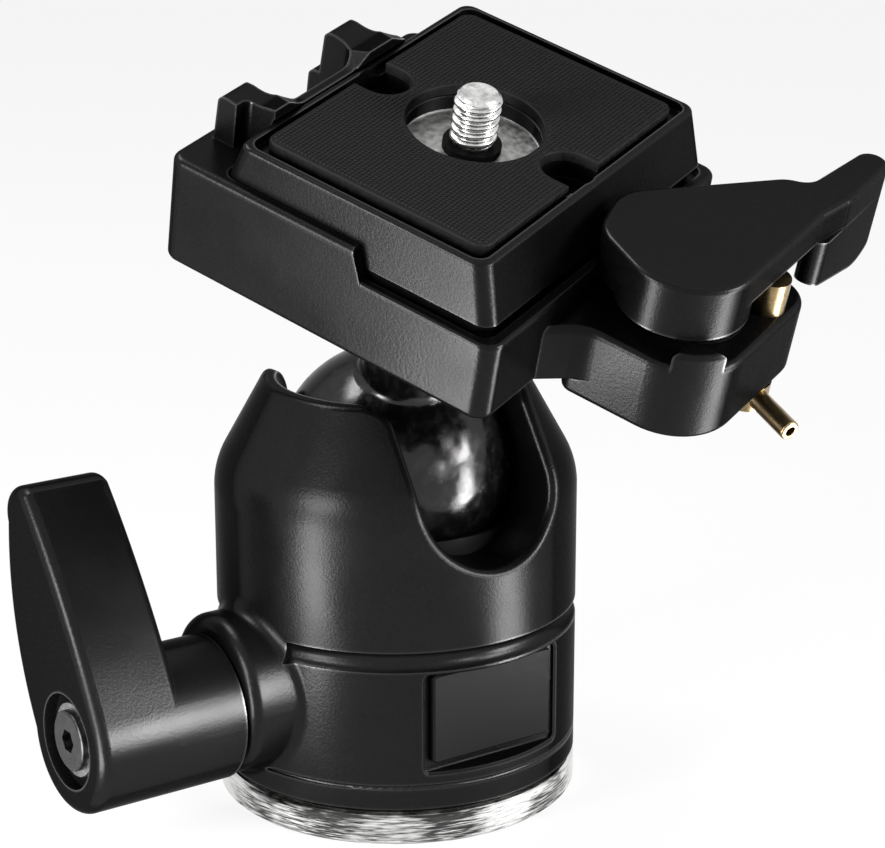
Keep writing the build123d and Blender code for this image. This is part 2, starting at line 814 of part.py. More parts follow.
# Rail along the plate with the two claws that reach out from it
with BuildPart() as claws:
    with BuildSketch(deck.offset(claw_low)) as claw_plan:
        with Locations((rail_out, claw_v0)):
            Rectangle(rail_w, rail_end - claw_v0, align=Align.MIN)
        with Locations((claw_out, claw_v0), (claw_out, claw_v1)):
            Rectangle(rail_in - claw_out, claw_len, align=Align.MIN)
        with Locations((claw_out + claw_post_w, claw_v0)):
            Rectangle(rail_in - claw_out - claw_post_w, claw_notch, align=Align.MIN, mode=Mode.SUBTRACT)
        notch_corner = (claw_out + claw_post_w, claw_v0 + claw_notch, 0)
        fillet(claw_plan.vertices().sort_by_distance(notch_corner)[0], claw_round)
        for web_v in (claw_v0 + claw_len, claw_v1, claw_v1 + claw_len):
            fillet(claw_plan.vertices().sort_by_distance((rail_out, web_v, 0))[0], claw_web_r)
    extrude(amount=claw_top - claw_low)
    with BuildSketch(deck_side(claw_v0)) as claw_side:
        Polygon(
            (claw_out, claw_low),
            (rail_in, claw_low),
            (rail_in, claw_top),
            (claw_saddle, claw_top - claw_sag),
            (claw_out + claw_nose, claw_top),
            (claw_out + claw_draft, claw_top),
            align=None,
        )
        fillet(claw_side.vertices().sort_by_distance((claw_saddle, claw_top - claw_sag, 0))[0], claw_web_r)
        fillet(claw_side.vertices().sort_by_distance((claw_out + claw_draft, claw_top, 0))[0], claw_round)
    extrude(amount=claw_v0 - rail_end, mode=Mode.INTERSECT)
    with BuildSketch(Plane(origin=(claw_out, 0, 0), x_dir=deck_v, z_dir=deck_u)) as claw_row:
        Polygon(
            (claw_v0, claw_low),
            (claw_v0, claw_top),
            (claw_v0 + claw_len, claw_top),
            (claw_v0 + claw_len + claw_fall, rail_top),
            (claw_v1 - claw_fall, rail_top),
            (claw_v1, claw_top),
            (claw_v1 + claw_len, claw_top),
            (rail_end, rail_top),
            (rail_end, claw_low),
            align=None,
        )
        for bend_v in (claw_v0 + claw_len + claw_fall, claw_v1 - claw_fall):
            fillet(claw_row.vertices().sort_by_distance((bend_v, rail_top, 0))[0], claw_web_r)
        for bend_v in (claw_v0 + claw_len, claw_v1, claw_v1 + claw_len):
            fillet(claw_row.vertices().sort_by_distance((bend_v, claw_top, 0))[0], claw_round)
    extrude(amount=rail_in - claw_out, mode=Mode.INTERSECT)

# Foot of the lug, below the frame
with BuildPart() as lug_foot:
    with BuildSketch(hinge.offset(lug_low)) as foot_plan:
        with Locations((frame_edge - pivot_out, lug_front)):
            Rectangle(lug_right + pivot_out - frame_edge, lug_back - lug_front, align=Align.MIN)
        fillet(foot_plan.vertices().sort_by_distance((lug_right, lug_front, 0))[0], lug_round_front)
        fillet(foot_plan.vertices().sort_by_distance((lug_right, lug_back, 0))[0], lug_round_back)
        fillet(foot_plan.vertices().sort_by(Axis.X)[:2], lug_blend / 2)
    extrude(amount=frame_bottom + frame_edge + lug_edge - lug_low)
    fillet(lug_foot.faces().sort_by(deck_axis)[0].edges(), lug_edge)

# Clamp frame: tub, claws, lug, stop block and neck boss
with BuildPart() as clamp_frame:
    with BuildSketch(deck.offset(frame_bottom)):
        with Locations((frame_mid, 0)):
            RectangleRounded(frame_width, 2 * frame_half_v, frame_corner)
    extrude(amount=frame_floor - frame_bottom)
    add(claw_wall.part)
    with BuildSketch(deck.offset(claw_low)):
        with Locations((frame_left - cut_over, claw_v0 + claw_len)):
            Rectangle(rail_foot_inset + cut_over, claw_v1 - claw_v0 - claw_len, align=Align.MIN)
    extrude(amount=claw_top - claw_low, mode=Mode.SUBTRACT)
    with BuildSketch(deck.offset(wall_low)):
        with Locations((frame_left - cut_over, claw_v1 + claw_len)):
            Rectangle(rail_foot_inset + cut_over, frame_half_v, align=Align.MIN)
    extrude(amount=claw_top - wall_low, mode=Mode.SUBTRACT)
    with BuildSketch(deck_side(claw_v0 + claw_notch)):
        Polygon(
            (rail_foot, claw_low),
            (rail_in, claw_low),
            (rail_in, rail_top),
            (rail_out, rail_top),
            (rail_foot, plate_wide),
            align=None,
        )
    extrude(amount=claw_v0 + claw_notch - rail_end)
    add(claws.part)
    add(plate_space.part, mode=Mode.SUBTRACT)
    with BuildSketch(hinge.offset(frame_bottom)) as lug_plan:
        with BuildLine():
            Polyline(
                (-pivot_out - frame_wall, lug_front - lug_blend),
                (-pivot_out, lug_front - lug_blend),
                (lug_blend - pivot_out, lug_front),
                (lug_right, lug_front),
                (lug_right, lug_back),
                (lug_blend - pivot_out, lug_back),
                (-pivot_out, lug_back + lug_blend),
                (-pivot_out - frame_wall, lug_back + lug_blend),
                close=True,
            )
        make_face()
        fillet(lug_plan.vertices().sort_by_distance((lug_right, lug_front, 0))[0], lug_round_front)
        fillet(lug_plan.vertices().sort_by_distance((lug_right, lug_back, 0))[0], lug_round_back)
        fillet(lug_plan.vertices().sort_by_distance((lug_blend - pivot_out, lug_front, 0))[0], lug_blend)
        fillet(lug_plan.vertices().sort_by_distance((lug_blend - pivot_out, lug_back, 0))[0], lug_blend)
    extrude(amount=lug_top - frame_bottom)
    lug_rim = level_edges(
        clamp_frame.edges(), lug_top, lambda u, v: u > frame_right + face_gap
    )
    fillet(lug_rim, lug_edge)
    with BuildSketch(hinge.offset(lug_top - lug_edge)) as stop_plan:
        with BuildLine():
            Polyline(
                (-pivot_out, lug_front),
                (lug_right, lug_front),
                (lug_right, lug_back),
                (-pivot_out, lug_back),
                close=True,
            )
        make_face()
        fillet(stop_plan.vertices().sort_by_distance((lug_right, lug_front, 0))[0], lug_round_front)
        with Locations((stop_u0, stop_v1)):
            Rectangle(lug_back, lug_back, align=(Align.MIN, Align.MAX), mode=Mode.INTERSECT)
    extrude(amount=stop_top - lug_top + lug_edge)
    fillet(level_edges(clamp_frame.edges(), stop_top, lambda u, v: u > frame_right), stop_edge)
    fillet(level_edges(clamp_frame.edges(), frame_bottom, lambda u, v: True), frame_edge)
    add(lug_foot.part)
    claw_rim = level_edges(
        clamp_frame.edges(),
        wall_top,
        lambda u, v: u < frame_left + frame_corner / 3 or abs(v) > frame_half_v - edge_tol,
    )
    fillet(claw_rim, frame_edge)
    tub_rim = level_edges(
        clamp_frame.edges(),
        wall_low,
        lambda u, v: u > frame_right - frame_corner / 2 or abs(v) > frame_half_v - edge_tol,
    )
    fillet(tub_rim, rim_edge)
    with BuildSketch(deck.offset(frame_bottom)):
        with Locations((frame_mid, 0)):
            RectangleRounded(cavity_u, cavity_v, frame_corner / 2)
        with Locations((-stem_shift, 0)):
            Circle(boss_under_r, mode=Mode.SUBTRACT)
            Rectangle(frame_width * 2, rib_t, mode=Mode.SUBTRACT)
            Rectangle(rib_t, frame_half_v * 2, mode=Mode.SUBTRACT)
    extrude(amount=cavity_top - frame_bottom, mode=Mode.SUBTRACT)
    with BuildSketch(deck.offset(frame_bottom)):
        with Locations((-stem_shift, 0)):
            Circle(neck_pin_r + run_gap)
    extrude(amount=neck_pin_l, mode=Mode.SUBTRACT)
    with BuildSketch(deck.offset(frame_bottom)):
        with Locations((-stem_shift, 0)):
            Circle(bolt_r + run_gap)
    extrude(amount=frame_floor - frame_bottom, mode=Mode.SUBTRACT)
    with BuildSketch(deck.offset(frame_floor - bolt_head_t)):
        with Locations((-stem_shift, 0)):
            Circle(bolt_r + run_gap)
    extrude(amount=bolt_head_t, taper=-bolt_cone_angle, mode=Mode.SUBTRACT)
    with BuildSketch(hinge.offset(lug_low)):
        Circle(pivot_r + run_gap)
        with Locations((catch_u, catch_v)):
            Circle(catch_shaft_r + run_gap)
    extrude(amount=lug_top - lug_low, mode=Mode.SUBTRACT)
    with BuildSketch(hinge.offset(lug_low)):
        Circle(pivot_head_r + face_gap)
    extrude(amount=pivot_head_t + seat_gap, mode=Mode.SUBTRACT)
clamp_frame.part.location = clamp_place
clamp_frame.part.label = "clamp_frame"
export_step(clamp_frame.part, "parts/clamp_frame.step")

# Countersunk bolt through the clamp floor into the neck
with BuildPart() as stem_bolt:
    with BuildSketch(deck.offset(frame_floor - bolt_head_t)):
        with Locations((-stem_shift, 0)):
            Circle(bolt_r)
    extrude(amount=bolt_head_t - seat_gap, taper=-bolt_cone_angle)
    with BuildSketch(deck.offset(frame_floor - bolt_head_t)):
        with Locations((-stem_shift, 0)):
            Circle(bolt_r)
    extrude(amount=frame_bottom - frame_floor + bolt_head_t + neck_pin_l - neck_bolt_depth + bolt_end_gap)
    with BuildSketch(deck.offset(frame_floor)):
        with Locations((-stem_shift, 0)):
            RegularPolygon(bolt_hex / 2, 6, major_radius=False)
    extrude(amount=-bolt_hex_d, mode=Mode.SUBTRACT)
stem_bolt.part.location = clamp_place
stem_bolt.part.label = "stem_bolt"
export_step(stem_bolt.part, "parts/stem_bolt.step")

# Finger tab under the release lever's grip
tab_end = tip_v + tip_r
with BuildPart() as finger_tab:
    with BuildSketch(hinge.offset(tab_end_low)):
        with Locations((tip_u, tip_v)):
            Circle(tip_r)
        with Locations((grip_u + grip_r - tab_t / 2, tab_v0 + tab_t / 2)):
            Circle(tab_t / 2)
        make_hull()
    extrude(amount=arm_plate_low - tab_end_low)
    with BuildSketch(hinge_end) as tab_outline:
        Polygon(
            (tab_v0, arm_plate_low),
            (tab_v0, tab_start_low),
            (tab_end, tab_end_low),
            (tab_end, arm_plate_low),
            align=None,
        )
        fillet(tab_outline.vertices().sort_by_distance((tab_end, tab_end_low, 0))[0], tab_round)
    extrude(amount=tip_u + tip_r + grip_r, mode=Mode.INTERSECT)

# Release lever: head plate, grip, finger tab, cam and hub
with BuildPart() as release_lever:
    with BuildSketch(hinge.offset(arm_plate_low)):
        with Locations((head_u, head_v)):
            Circle(head_r)
        with Locations((lobe_u, lobe_v)):
            Circle(lobe_r)
        with Locations((nose_u, nose_v)):
            Circle(nose_r)
        with Locations((root_u, root_v)):
            Circle(root_r)
        make_hull()
    extrude(amount=arm_plate_top - arm_plate_low)
    with BuildSketch(hinge.offset(arm_plate_low)):
        with Locations((grip_u, grip_v)):
            Circle(grip_r)
        with Locations((tip_u, tip_v)):
            Circle(tip_r)
        make_hull()
    extrude(amount=arm_plate_top - arm_plate_low)
    with BuildSketch(hinge.offset(arm_plate_low)):
        Polygon(
            (root_u, root_v),
            (root_u + root_r, root_v),
            (grip_u + grip_r, grip_v),
            (grip_u, grip_v),
            align=None,
        )
    extrude(amount=arm_plate_top - arm_plate_low)
    crook = hinge.origin + deck_u * (grip_u - grip_r) + deck_v * (root_v + root_r) + deck_w * arm_plate_top
    fillet(release_lever.edges().filter_by(deck_axis).sort_by_distance(crook)[0], crook_r)
    add(finger_tab.part)
    fillet(release_lever.faces().sort_by(deck_axis)[-1].edges(), lever_edge)
    with BuildSketch(hinge.offset(head_low)):
        with Locations((head_u, head_v)):
            Circle(head_r)
    extrude(amount=arm_plate_low - head_low)
    with BuildSketch(hinge.offset(cam_low)):
        with Locations((cam_u, 0)):
            Circle(cam_r)
    extrude(amount=arm_plate_low - cam_low)
    with BuildSketch(hinge.offset(skirt_low)):
        Circle(skirt_r)
    extrude(amount=arm_plate_low - skirt_low)
    with BuildSketch(hinge.offset(skirt_low)):
        Circle(sleeve_r + run_gap / 2)
    extrude(amount=pivot_top + face_gap - skirt_low, mode=Mode.SUBTRACT)
    with BuildSketch(hinge.offset(skirt_low)):
        Circle(coil_r + coil_pocket_w / 2)
        Circle(coil_r - coil_pocket_w / 2, mode=Mode.SUBTRACT)
    extrude(amount=coil_pocket_top - skirt_low, mode=Mode.SUBTRACT)
release_lever.part.location = clamp_place
release_lever.part.label = "release_lever"
export_step(release_lever.part, "parts/release_lever.step")

# Pivot bolt from below the lug
with BuildPart() as pivot_bolt:
    with BuildSketch(hinge.offset(lug_low + face_gap)):
        Circle(pivot_head_r)
    extrude(amount=pivot_head_t - face_gap)
    with BuildSketch(hinge.offset(lug_low + face_gap)):
        Circle(pivot_r)
    extrude(amount=pivot_top - lug_low - face_gap)
    with BuildSketch(hinge.offset(lug_low + face_gap)):
        RegularPolygon(pivot_hex / 2, 6, major_radius=False)
    extrude(amount=pivot_hex_d, mode=Mode.SUBTRACT)
pivot_bolt.part.location = clamp_place
pivot_bolt.part.label = "pivot_bolt"
export_step(pivot_bolt.part, "parts/pivot_bolt.step")

# Sleeve in the release lever
with BuildPart() as pivot_bush:
    with BuildSketch(hinge.offset(skirt_low)):
        Circle(sleeve_r)
        Circle(pivot_r + run_gap, mode=Mode.SUBTRACT)
    extrude(amount=pivot_top - skirt_low)
pivot_bush.part.location = clamp_place
pivot_bush.part.label = "pivot_bush"
export_step(pivot_bush.part, "parts/pivot_bush.step")

# Coil spring round the sleeve
coil_low = lug_top + coil_wire_r + seat_gap
coil_centre = hinge.origin + deck_w * coil_low
with BuildPart() as release_spring:
    with BuildLine() as coil_path:
        Helix(coil_pitch, coil_pitch * coil_turns, coil_r, center=coil_centre, direction=deck_w)
    with BuildSketch(Plane(origin=coil_path.line @ 0, z_dir=coil_path.line % 0)):
        Circle(coil_wire_r)
    sweep(is_frenet=True)
release_spring.part.location = clamp_place
release_spring.part.label = "release_spring"
export_step(release_spring.part, "parts/release_spring.step")

# Safety catch: shaft with a flatted cam head
with BuildPart() as safety_catch:
    with BuildSketch(catch_post.offset(collar_low)):
        Circle(catch_shaft_r)
    extrude(amount=lug_top + seat_gap - collar_low)
    with BuildSketch(catch_post.offset(lug_top + seat_gap)):
        Circle(catch_head_r)
    extrude(amount=catch_head_top - lug_top - seat_gap)
    with BuildSketch(catch_post.offset(catch_flat_low)):
        with Locations((-catch_flat - catch_head_r, 0)):
            Rectangle(catch_head_r * 2, catch_head_r * 3)
    extrude(amount=catch_head_top - catch_flat_low, mode=Mode.SUBTRACT)
pin_plane = Plane(
    origin=catch_post.origin + deck_w * (collar_top + collar_low) * 0.5,
    x_dir=deck_w,
    z_dir=deck_u * cos(radians(pin_angle)) + deck_v * sin(radians(pin_angle)),
)
with safety_catch:
    with BuildSketch(pin_plane):
        Circle(pin_r + run_gap / 2)
    extrude(amount=catch_shaft_r * 2, mode=Mode.SUBTRACT)
safety_catch.part.location = clamp_place
safety_catch.part.label = "safety_catch"
export_step(safety_catch.part, "parts/safety_catch.step")

# Collar under the lug
with BuildPart() as catch_collar:
    with BuildSketch(catch_post.offset(collar_low)):
        Circle(collar_r)
        Circle(catch_shaft_r + run_gap / 2, mode=Mode.SUBTRACT)
    extrude(amount=collar_top - collar_low)
    with BuildSketch(pin_plane):
        Circle(pin_r + run_gap / 2)
    extrude(amount=collar_r * 2, mode=Mode.SUBTRACT)
catch_collar.part.location = clamp_place
catch_collar.part.label = "catch_collar"
export_step(catch_collar.part, "parts/catch_collar.step")

# Finger pin of the catch
with BuildPart() as catch_pin:
    with BuildSketch(pin_plane.offset(run_gap)):
        Circle(pin_r)
    extrude(amount=pin_reach)
    pin_ends = catch_pin.edges().filter_by(GeomType.CIRCLE)
    fillet(pin_ends.sort_by(Axis(pin_plane.origin, pin_plane.z_dir))[-1], pin_round)
    with BuildSketch(pin_plane.offset(run_gap + pin_reach)):
        Circle(pin_bore_r)
    extrude(amount=-pin_bore_d, mode=Mode.SUBTRACT)
catch_pin.part.location = clamp_place
catch_pin.part.label = "catch_pin"
export_step(catch_pin.part, "parts/catch_pin.step")

# Dovetail camera plate
with BuildPart() as camera_plate:
    with BuildSketch(deck):
        RectangleRounded(plate_top_u, plate_top_v, plate_corner)
    with BuildSketch(deck.offset(plate_wide)):
        RectangleRounded(plate_max_u, plate_max_v, plate_corner)
    loft()
    with BuildSketch(deck.offset(plate_wide)):
        RectangleRounded(plate_max_u, plate_max_v, plate_corner)
    with BuildSketch(deck.offset(plate_low)):
        RectangleRounded(plate_low_u, plate_low_v, plate_corner)
    loft()
    fillet(camera_plate.faces().sort_by(deck_axis)[-1].edges(), plate_edge)
    with BuildSketch(deck):
        RectangleRounded(pocket_u, pocket_v, pocket_corner)
    extrude(amount=-pocket_d, mode=Mode.SUBTRACT)
    with BuildSketch(deck):
        Circle(pad_hole_r)
        with Locations((notch_u, 0)):
            Circle(notch_r)
            Rectangle(pad_u / 2 - notch_u, 2 * notch_r, align=(Align.MIN, Align.CENTER))
        with Locations((-notch_u, 0)):
            Circle(notch_r)
            Rectangle(pad_u / 2 - notch_u, 2 * notch_r, align=(Align.MAX, Align.CENTER))
    extrude(amount=-well_d, mode=Mode.SUBTRACT)
    with BuildSketch(deck.offset(plate_low)):
        Circle(screw_head_r + screw_head_gap)
    extrude(amount=web_low - plate_low, mode=Mode.SUBTRACT)
    with BuildSketch(deck.offset(plate_low)):
        Circle(screw_r + run_gap)
    extrude(amount=-plate_low, mode=Mode.SUBTRACT)
camera_plate.part.location = clamp_place
camera_plate.part.label = "camera_plate"
export_step(camera_plate.part, "parts/camera_plate.step")

# Rubber pad with screw window and edge notches
with BuildPart() as rubber_pad:
    with BuildSketch(deck.offset(-pocket_d)):
        RectangleRounded(pad_u, pad_v, pad_corner)
        Circle(pad_hole_r, mode=Mode.SUBTRACT)
        with Locations((notch_u, 0)):
            Circle(notch_r, mode=Mode.SUBTRACT)
            Rectangle(pad_u, 2 * notch_r, align=(Align.MIN, Align.CENTER), mode=Mode.SUBTRACT)
        with Locations((-notch_u, 0)):
            Circle(notch_r, mode=Mode.SUBTRACT)
            Rectangle(pad_u, 2 * notch_r, align=(Align.MAX, Align.CENTER), mode=Mode.SUBTRACT)
    extrude(amount=pad_top + pocket_d)
rubber_pad.part.location = clamp_place
rubber_pad.part.label = "rubber_pad"
export_step(rubber_pad.part, "parts/rubber_pad.step")

# Camera screw with a slotted head under the plate
with BuildPart() as camera_screw:
    with BuildSketch(deck.offset(screw_head_low)):
        Circle(screw_head_r)
        Rectangle(screw_head_r * 3, screw_slot_w, mode=Mode.SUBTRACT)
    extrude(amount=screw_slot_d)
    with BuildSketch(deck.offset(screw_head_low + screw_slot_d)):
        Circle(screw_head_r)
    extrude(amount=web_low - run_gap - screw_head_low - screw_slot_d)
    with BuildSketch(deck.offset(screw_head_low + screw_slot_d)):
        Circle(screw_shank_r)
    extrude(amount=screw_thread_low - screw_head_low - screw_slot_d)
    with BuildSketch(deck.offset(screw_thread_low)):
        Circle(screw_r)
    extrude(amount=screw_top - screw_thread_low)
    chamfer(camera_screw.faces().sort_by(deck_axis)[-1].edges(), screw_chamfer)
camera_screw.part.location = clamp_place
camera_screw.part.label = "camera_screw"
export_step(camera_screw.part, "parts/camera_screw.step")

# Ring that keeps the screw in the plate
with BuildPart() as screw_retainer:
    with BuildSketch(deck.offset(-well_d)):
        Circle(keeper_r)
        Circle(screw_shank_r + run_gap, mode=Mode.SUBTRACT)
    extrude(amount=keeper_t)
screw_retainer.part.location = clamp_place
screw_retainer.part.label = "screw_retainer"
export_step(screw_retainer.part, "parts/screw_retainer.step")
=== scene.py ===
"""Finishes for a tripod ball head, with its camera thread, its grip pad and a studio."""

import json
from math import atan2, ceil, cos, hypot, pi, radians, sin

import bmesh
import bpy
from bpy.props import FloatProperty, FloatVectorProperty, IntProperty, PointerProperty
from bpy.types import Operator, Panel, PropertyGroup
from mathutils import Matrix, Vector


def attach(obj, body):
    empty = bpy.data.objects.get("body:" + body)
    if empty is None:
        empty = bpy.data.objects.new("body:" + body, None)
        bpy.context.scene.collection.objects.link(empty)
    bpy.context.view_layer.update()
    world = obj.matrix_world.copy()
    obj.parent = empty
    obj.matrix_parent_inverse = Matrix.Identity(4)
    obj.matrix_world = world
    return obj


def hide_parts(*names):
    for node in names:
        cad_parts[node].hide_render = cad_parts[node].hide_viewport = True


bl_info = {
    "name": "Ball Head Finishes",
    "version": (1, 0, 0),
    "blender": (4, 5, 0),
    "location": "View3D > Sidebar > Ball Head",
    "description": "Finishes, camera thread, grip pad and studio for a tripod ball head",
    "category": "Object",
}

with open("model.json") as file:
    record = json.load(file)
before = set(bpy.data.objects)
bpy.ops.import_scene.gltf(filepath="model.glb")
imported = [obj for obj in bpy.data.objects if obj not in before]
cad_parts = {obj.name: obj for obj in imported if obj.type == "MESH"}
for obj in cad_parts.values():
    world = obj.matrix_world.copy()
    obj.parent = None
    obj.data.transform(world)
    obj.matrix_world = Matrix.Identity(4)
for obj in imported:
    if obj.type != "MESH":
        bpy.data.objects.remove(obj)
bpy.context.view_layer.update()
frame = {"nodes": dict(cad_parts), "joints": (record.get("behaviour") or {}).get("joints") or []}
JOINTS = {joint["name"]: joint for joint in frame["joints"]}
UP = Vector((0.0, 0.0, 1.0))
LEVER_AXIS_POINT = Vector(JOINTS["lock_lever"]["pos_m"])
# The front of the lever's hub, a little out from the joint's own point.
HUB_FRONT = LEVER_AXIS_POINT + Vector((-0.005, -0.0105, 0.0015))
PLATE_CENTRE = Vector(JOINTS["screw_turn"]["pos_m"])
PLATE_UP = Vector(JOINTS["screw_turn"]["axis"])
# The cam lever's pivot on the plate's own axes, which gives their direction.
RELEASE_PIVOT = (0.035, 0.001)
# How far a surface turns from the eye between its full gloss and its least gloss.
FACING_START, FACING_END = 0.25, 0.55
# Cosines between a rounded and a plain normal: full edge gloss up to the first, none from the second.
EDGE_FULL, EDGE_NONE = 0.9, 0.995
# Height by which a point may miss the well's floor and still count as on it.
WELL_SLACK = 0.0002
# Rows of the screw's mesh in one turn of its thread, and the bevel on its head.
ROWS_PER_TURN = 14
HEAD_EDGE = 0.0003
# Steps of the pad's rounded lines, and the share of a nub's height that reaches into the sheet.
CORNER_STEPS, NOTCH_STEPS, WINDOW_STEPS = 8, 24, 48
NUB_SUNK = 0.1


def plate_matrix():
    """Frame of the camera plate: x across it, y along it, z up out of the pad."""
    pivot = Vector(JOINTS["release_lever"]["pos_m"]) - PLATE_CENTRE
    pivot -= PLATE_UP * pivot.dot(PLATE_UP)
    turn = Matrix.Rotation(-atan2(RELEASE_PIVOT[1], RELEASE_PIVOT[0]), 3, PLATE_UP)
    across = (turn @ pivot).normalized()
    axes = Matrix((across, PLATE_UP.cross(across), PLATE_UP)).transposed().to_4x4()
    return Matrix.Translation(PLATE_CENTRE) @ axes


def plate_span(node_name):
    """Lowest and highest value of a CAD node along each of the plate's own axes."""
    piece = frame["nodes"][node_name]
    to_plate = plate_matrix().inverted() @ piece.matrix_world
    columns = zip(*(to_plate @ vertex.co for vertex in piece.data.vertices))
    return [(min(column), max(column)) for column in columns]


PAD_SPAN = plate_span("rubber_pad")
SCREW_SPAN = plate_span("camera_screw")


class FinishSettings(PropertyGroup):
    """Colours and surface values of the finishes."""

    coat_color: FloatVectorProperty(
        name="Coat", description="Colour of the powder coat on the castings", subtype="COLOR",
        size=4, min=0.0, max=1.0, default=(0.0025, 0.0025, 0.0026, 1.0))
    coat_roughness: FloatProperty(
        name="Coat Roughness", description="How far the coat spreads a highlight", subtype="FACTOR",
        min=0.0, max=1.0, default=0.28)
    coat_grain: FloatProperty(
        name="Coat Grain", description="Size of the coat's orange-peel grain", subtype="DISTANCE",
        unit="LENGTH", min=0.0001, max=0.005, default=0.0004, precision=5)
    edge_width: FloatProperty(
        name="Edge Width", description="Width of the glossier edges of the castings", subtype="DISTANCE",
        unit="LENGTH", min=0.0001, max=0.005, default=0.0006, precision=5)
    ball_color: FloatVectorProperty(
        name="Ball", description="Colour of the polished ball", subtype="COLOR",
        size=4, min=0.0, max=1.0, default=(0.0025, 0.0025, 0.0027, 1.0))
    ball_roughness: FloatProperty(
        name="Ball Roughness", description="How far the ball spreads a highlight", subtype="FACTOR",
        min=0.0, max=1.0, default=0.2)
    bright_color: FloatVectorProperty(
        name="Bright Metal", description="Colour of turned aluminium and plated steel", subtype="COLOR",
        size=4, min=0.0, max=1.0, default=(0.72, 0.72, 0.71, 1.0))
    brass_color: FloatVectorProperty(
        name="Brass", description="Colour of the safety catch", subtype="COLOR",
        size=4, min=0.0, max=1.0, default=(0.33, 0.24, 0.125, 1.0))
    nylon_color: FloatVectorProperty(
        name="Nylon", description="Colour of the bearing washer and the lever's sleeve", subtype="COLOR",
        size=4, min=0.0, max=1.0, default=(0.62, 0.60, 0.55, 1.0))
    rubber_color: FloatVectorProperty(
        name="Rubber", description="Colour of the grip pad", subtype="COLOR",
        size=4, min=0.0, max=1.0, default=(0.009, 0.009, 0.0093, 1.0))
    badge_color: FloatVectorProperty(
        name="Badge", description="Colour of the plain badge plate", subtype="COLOR",
        size=4, min=0.0, max=1.0, default=(0.003, 0.003, 0.0031, 1.0))


class ThreadSettings(PropertyGroup):
    """Sizes of the camera screw, heights measured from the plate lip."""

    radius: FloatProperty(
        name="Radius", description="Radius over the thread crests", subtype="DISTANCE", unit="LENGTH",
        min=0.001, max=0.01, default=0.003175, precision=5)
    root_radius: FloatProperty(
        name="Root Radius", description="Radius in the thread valleys", subtype="DISTANCE", unit="LENGTH",
        min=0.001, max=0.01, default=0.00262, precision=5)
    pitch: FloatProperty(
        name="Pitch", description="Rise of the thread in one turn", subtype="DISTANCE", unit="LENGTH",
        min=0.0003, max=0.003, default=0.00127, precision=5)
    low: FloatProperty(
        name="Thread Start", description="Height at which the thread starts", subtype="DISTANCE",
        unit="LENGTH", default=-0.0024, precision=5)
    top: FloatProperty(
        name="Tip", description="Height of the screw's tip", subtype="DISTANCE", unit="LENGTH",
        default=SCREW_SPAN[2][1], precision=5)
    bevel: FloatProperty(
        name="Tip Bevel", description="Size of the bevel round the tip", subtype="DISTANCE",
        unit="LENGTH", default=0.0007, precision=5)
    head_radius: FloatProperty(
        name="Head Radius", description="Radius of the slotted head", subtype="DISTANCE", unit="LENGTH",
        default=SCREW_SPAN[0][1], precision=5)
    head_low: FloatProperty(
        name="Head Underside", description="Height of the head's slotted face", subtype="DISTANCE",
        unit="LENGTH", default=SCREW_SPAN[2][0], precision=5)
    head_top: FloatProperty(
        name="Head Shoulder", description="Height of the head's shoulder", subtype="DISTANCE",
        unit="LENGTH", default=-0.00665, precision=5)
    slot_width: FloatProperty(
        name="Slot Width", description="Width of the coin slot", subtype="DISTANCE", unit="LENGTH",
        default=0.0016, precision=5)
    slot_depth: FloatProperty(
        name="Slot Depth", description="Depth of the coin slot", subtype="DISTANCE", unit="LENGTH",
        default=0.0012, precision=5)
    segments: IntProperty(
        name="Segments", description="Steps round the screw", min=12, max=128, default=64)


class PadSettings(PropertyGroup):
    """Sizes of the grip pad, heights measured from the plate lip."""

    width: FloatProperty(
        name="Width", description="Size across the plate", subtype="DISTANCE", unit="LENGTH",
        default=PAD_SPAN[0][1] - PAD_SPAN[0][0], precision=5)
    length: FloatProperty(
        name="Length", description="Size along the plate", subtype="DISTANCE", unit="LENGTH",
        default=PAD_SPAN[1][1] - PAD_SPAN[1][0], precision=5)
    corner: FloatProperty(
        name="Corner", description="Radius of the corners", subtype="DISTANCE", unit="LENGTH",
        default=0.0016, precision=5)
    low: FloatProperty(
        name="Underside", description="Height of the glued face", subtype="DISTANCE", unit="LENGTH",
        default=PAD_SPAN[2][0], precision=5)
    top: FloatProperty(
        name="Top", description="Height of the nub tops", subtype="DISTANCE", unit="LENGTH",
        default=PAD_SPAN[2][1], precision=5)
    edge: FloatProperty(
        name="Edge", description="Rounding of the pad's edges", subtype="DISTANCE", unit="LENGTH",
        default=0.00022, precision=5)
    window_radius: FloatProperty(
        name="Window Radius", description="Radius of the window round the screw", subtype="DISTANCE",
        unit="LENGTH", default=0.0092, precision=5)
    notch_radius: FloatProperty(
        name="Notch Radius", description="Radius of the two edge notches", subtype="DISTANCE",
        unit="LENGTH", default=0.0036, precision=5)
    notch_inset: FloatProperty(
        name="Notch Inset", description="Depth of the notch centres inside the edge", subtype="DISTANCE",
        unit="LENGTH", default=0.0024, precision=5)
    nub_pitch: FloatProperty(
        name="Nub Pitch", description="Distance from nub to nub", subtype="DISTANCE", unit="LENGTH",
        min=0.0003, max=0.003, default=0.00058, precision=5)
    nub_foot: FloatProperty(
        name="Nub Foot", description="Width of a nub at its foot", subtype="DISTANCE", unit="LENGTH",
        default=0.00046, precision=5)
    nub_tip: FloatProperty(
        name="Nub Tip", description="Width of a nub at its tip", subtype="DISTANCE", unit="LENGTH",
        default=0.00022, precision=5)
    nub_height: FloatProperty(
        name="Nub Height", description="Height of a nub", subtype="DISTANCE", unit="LENGTH",
        default=0.00016, precision=5)


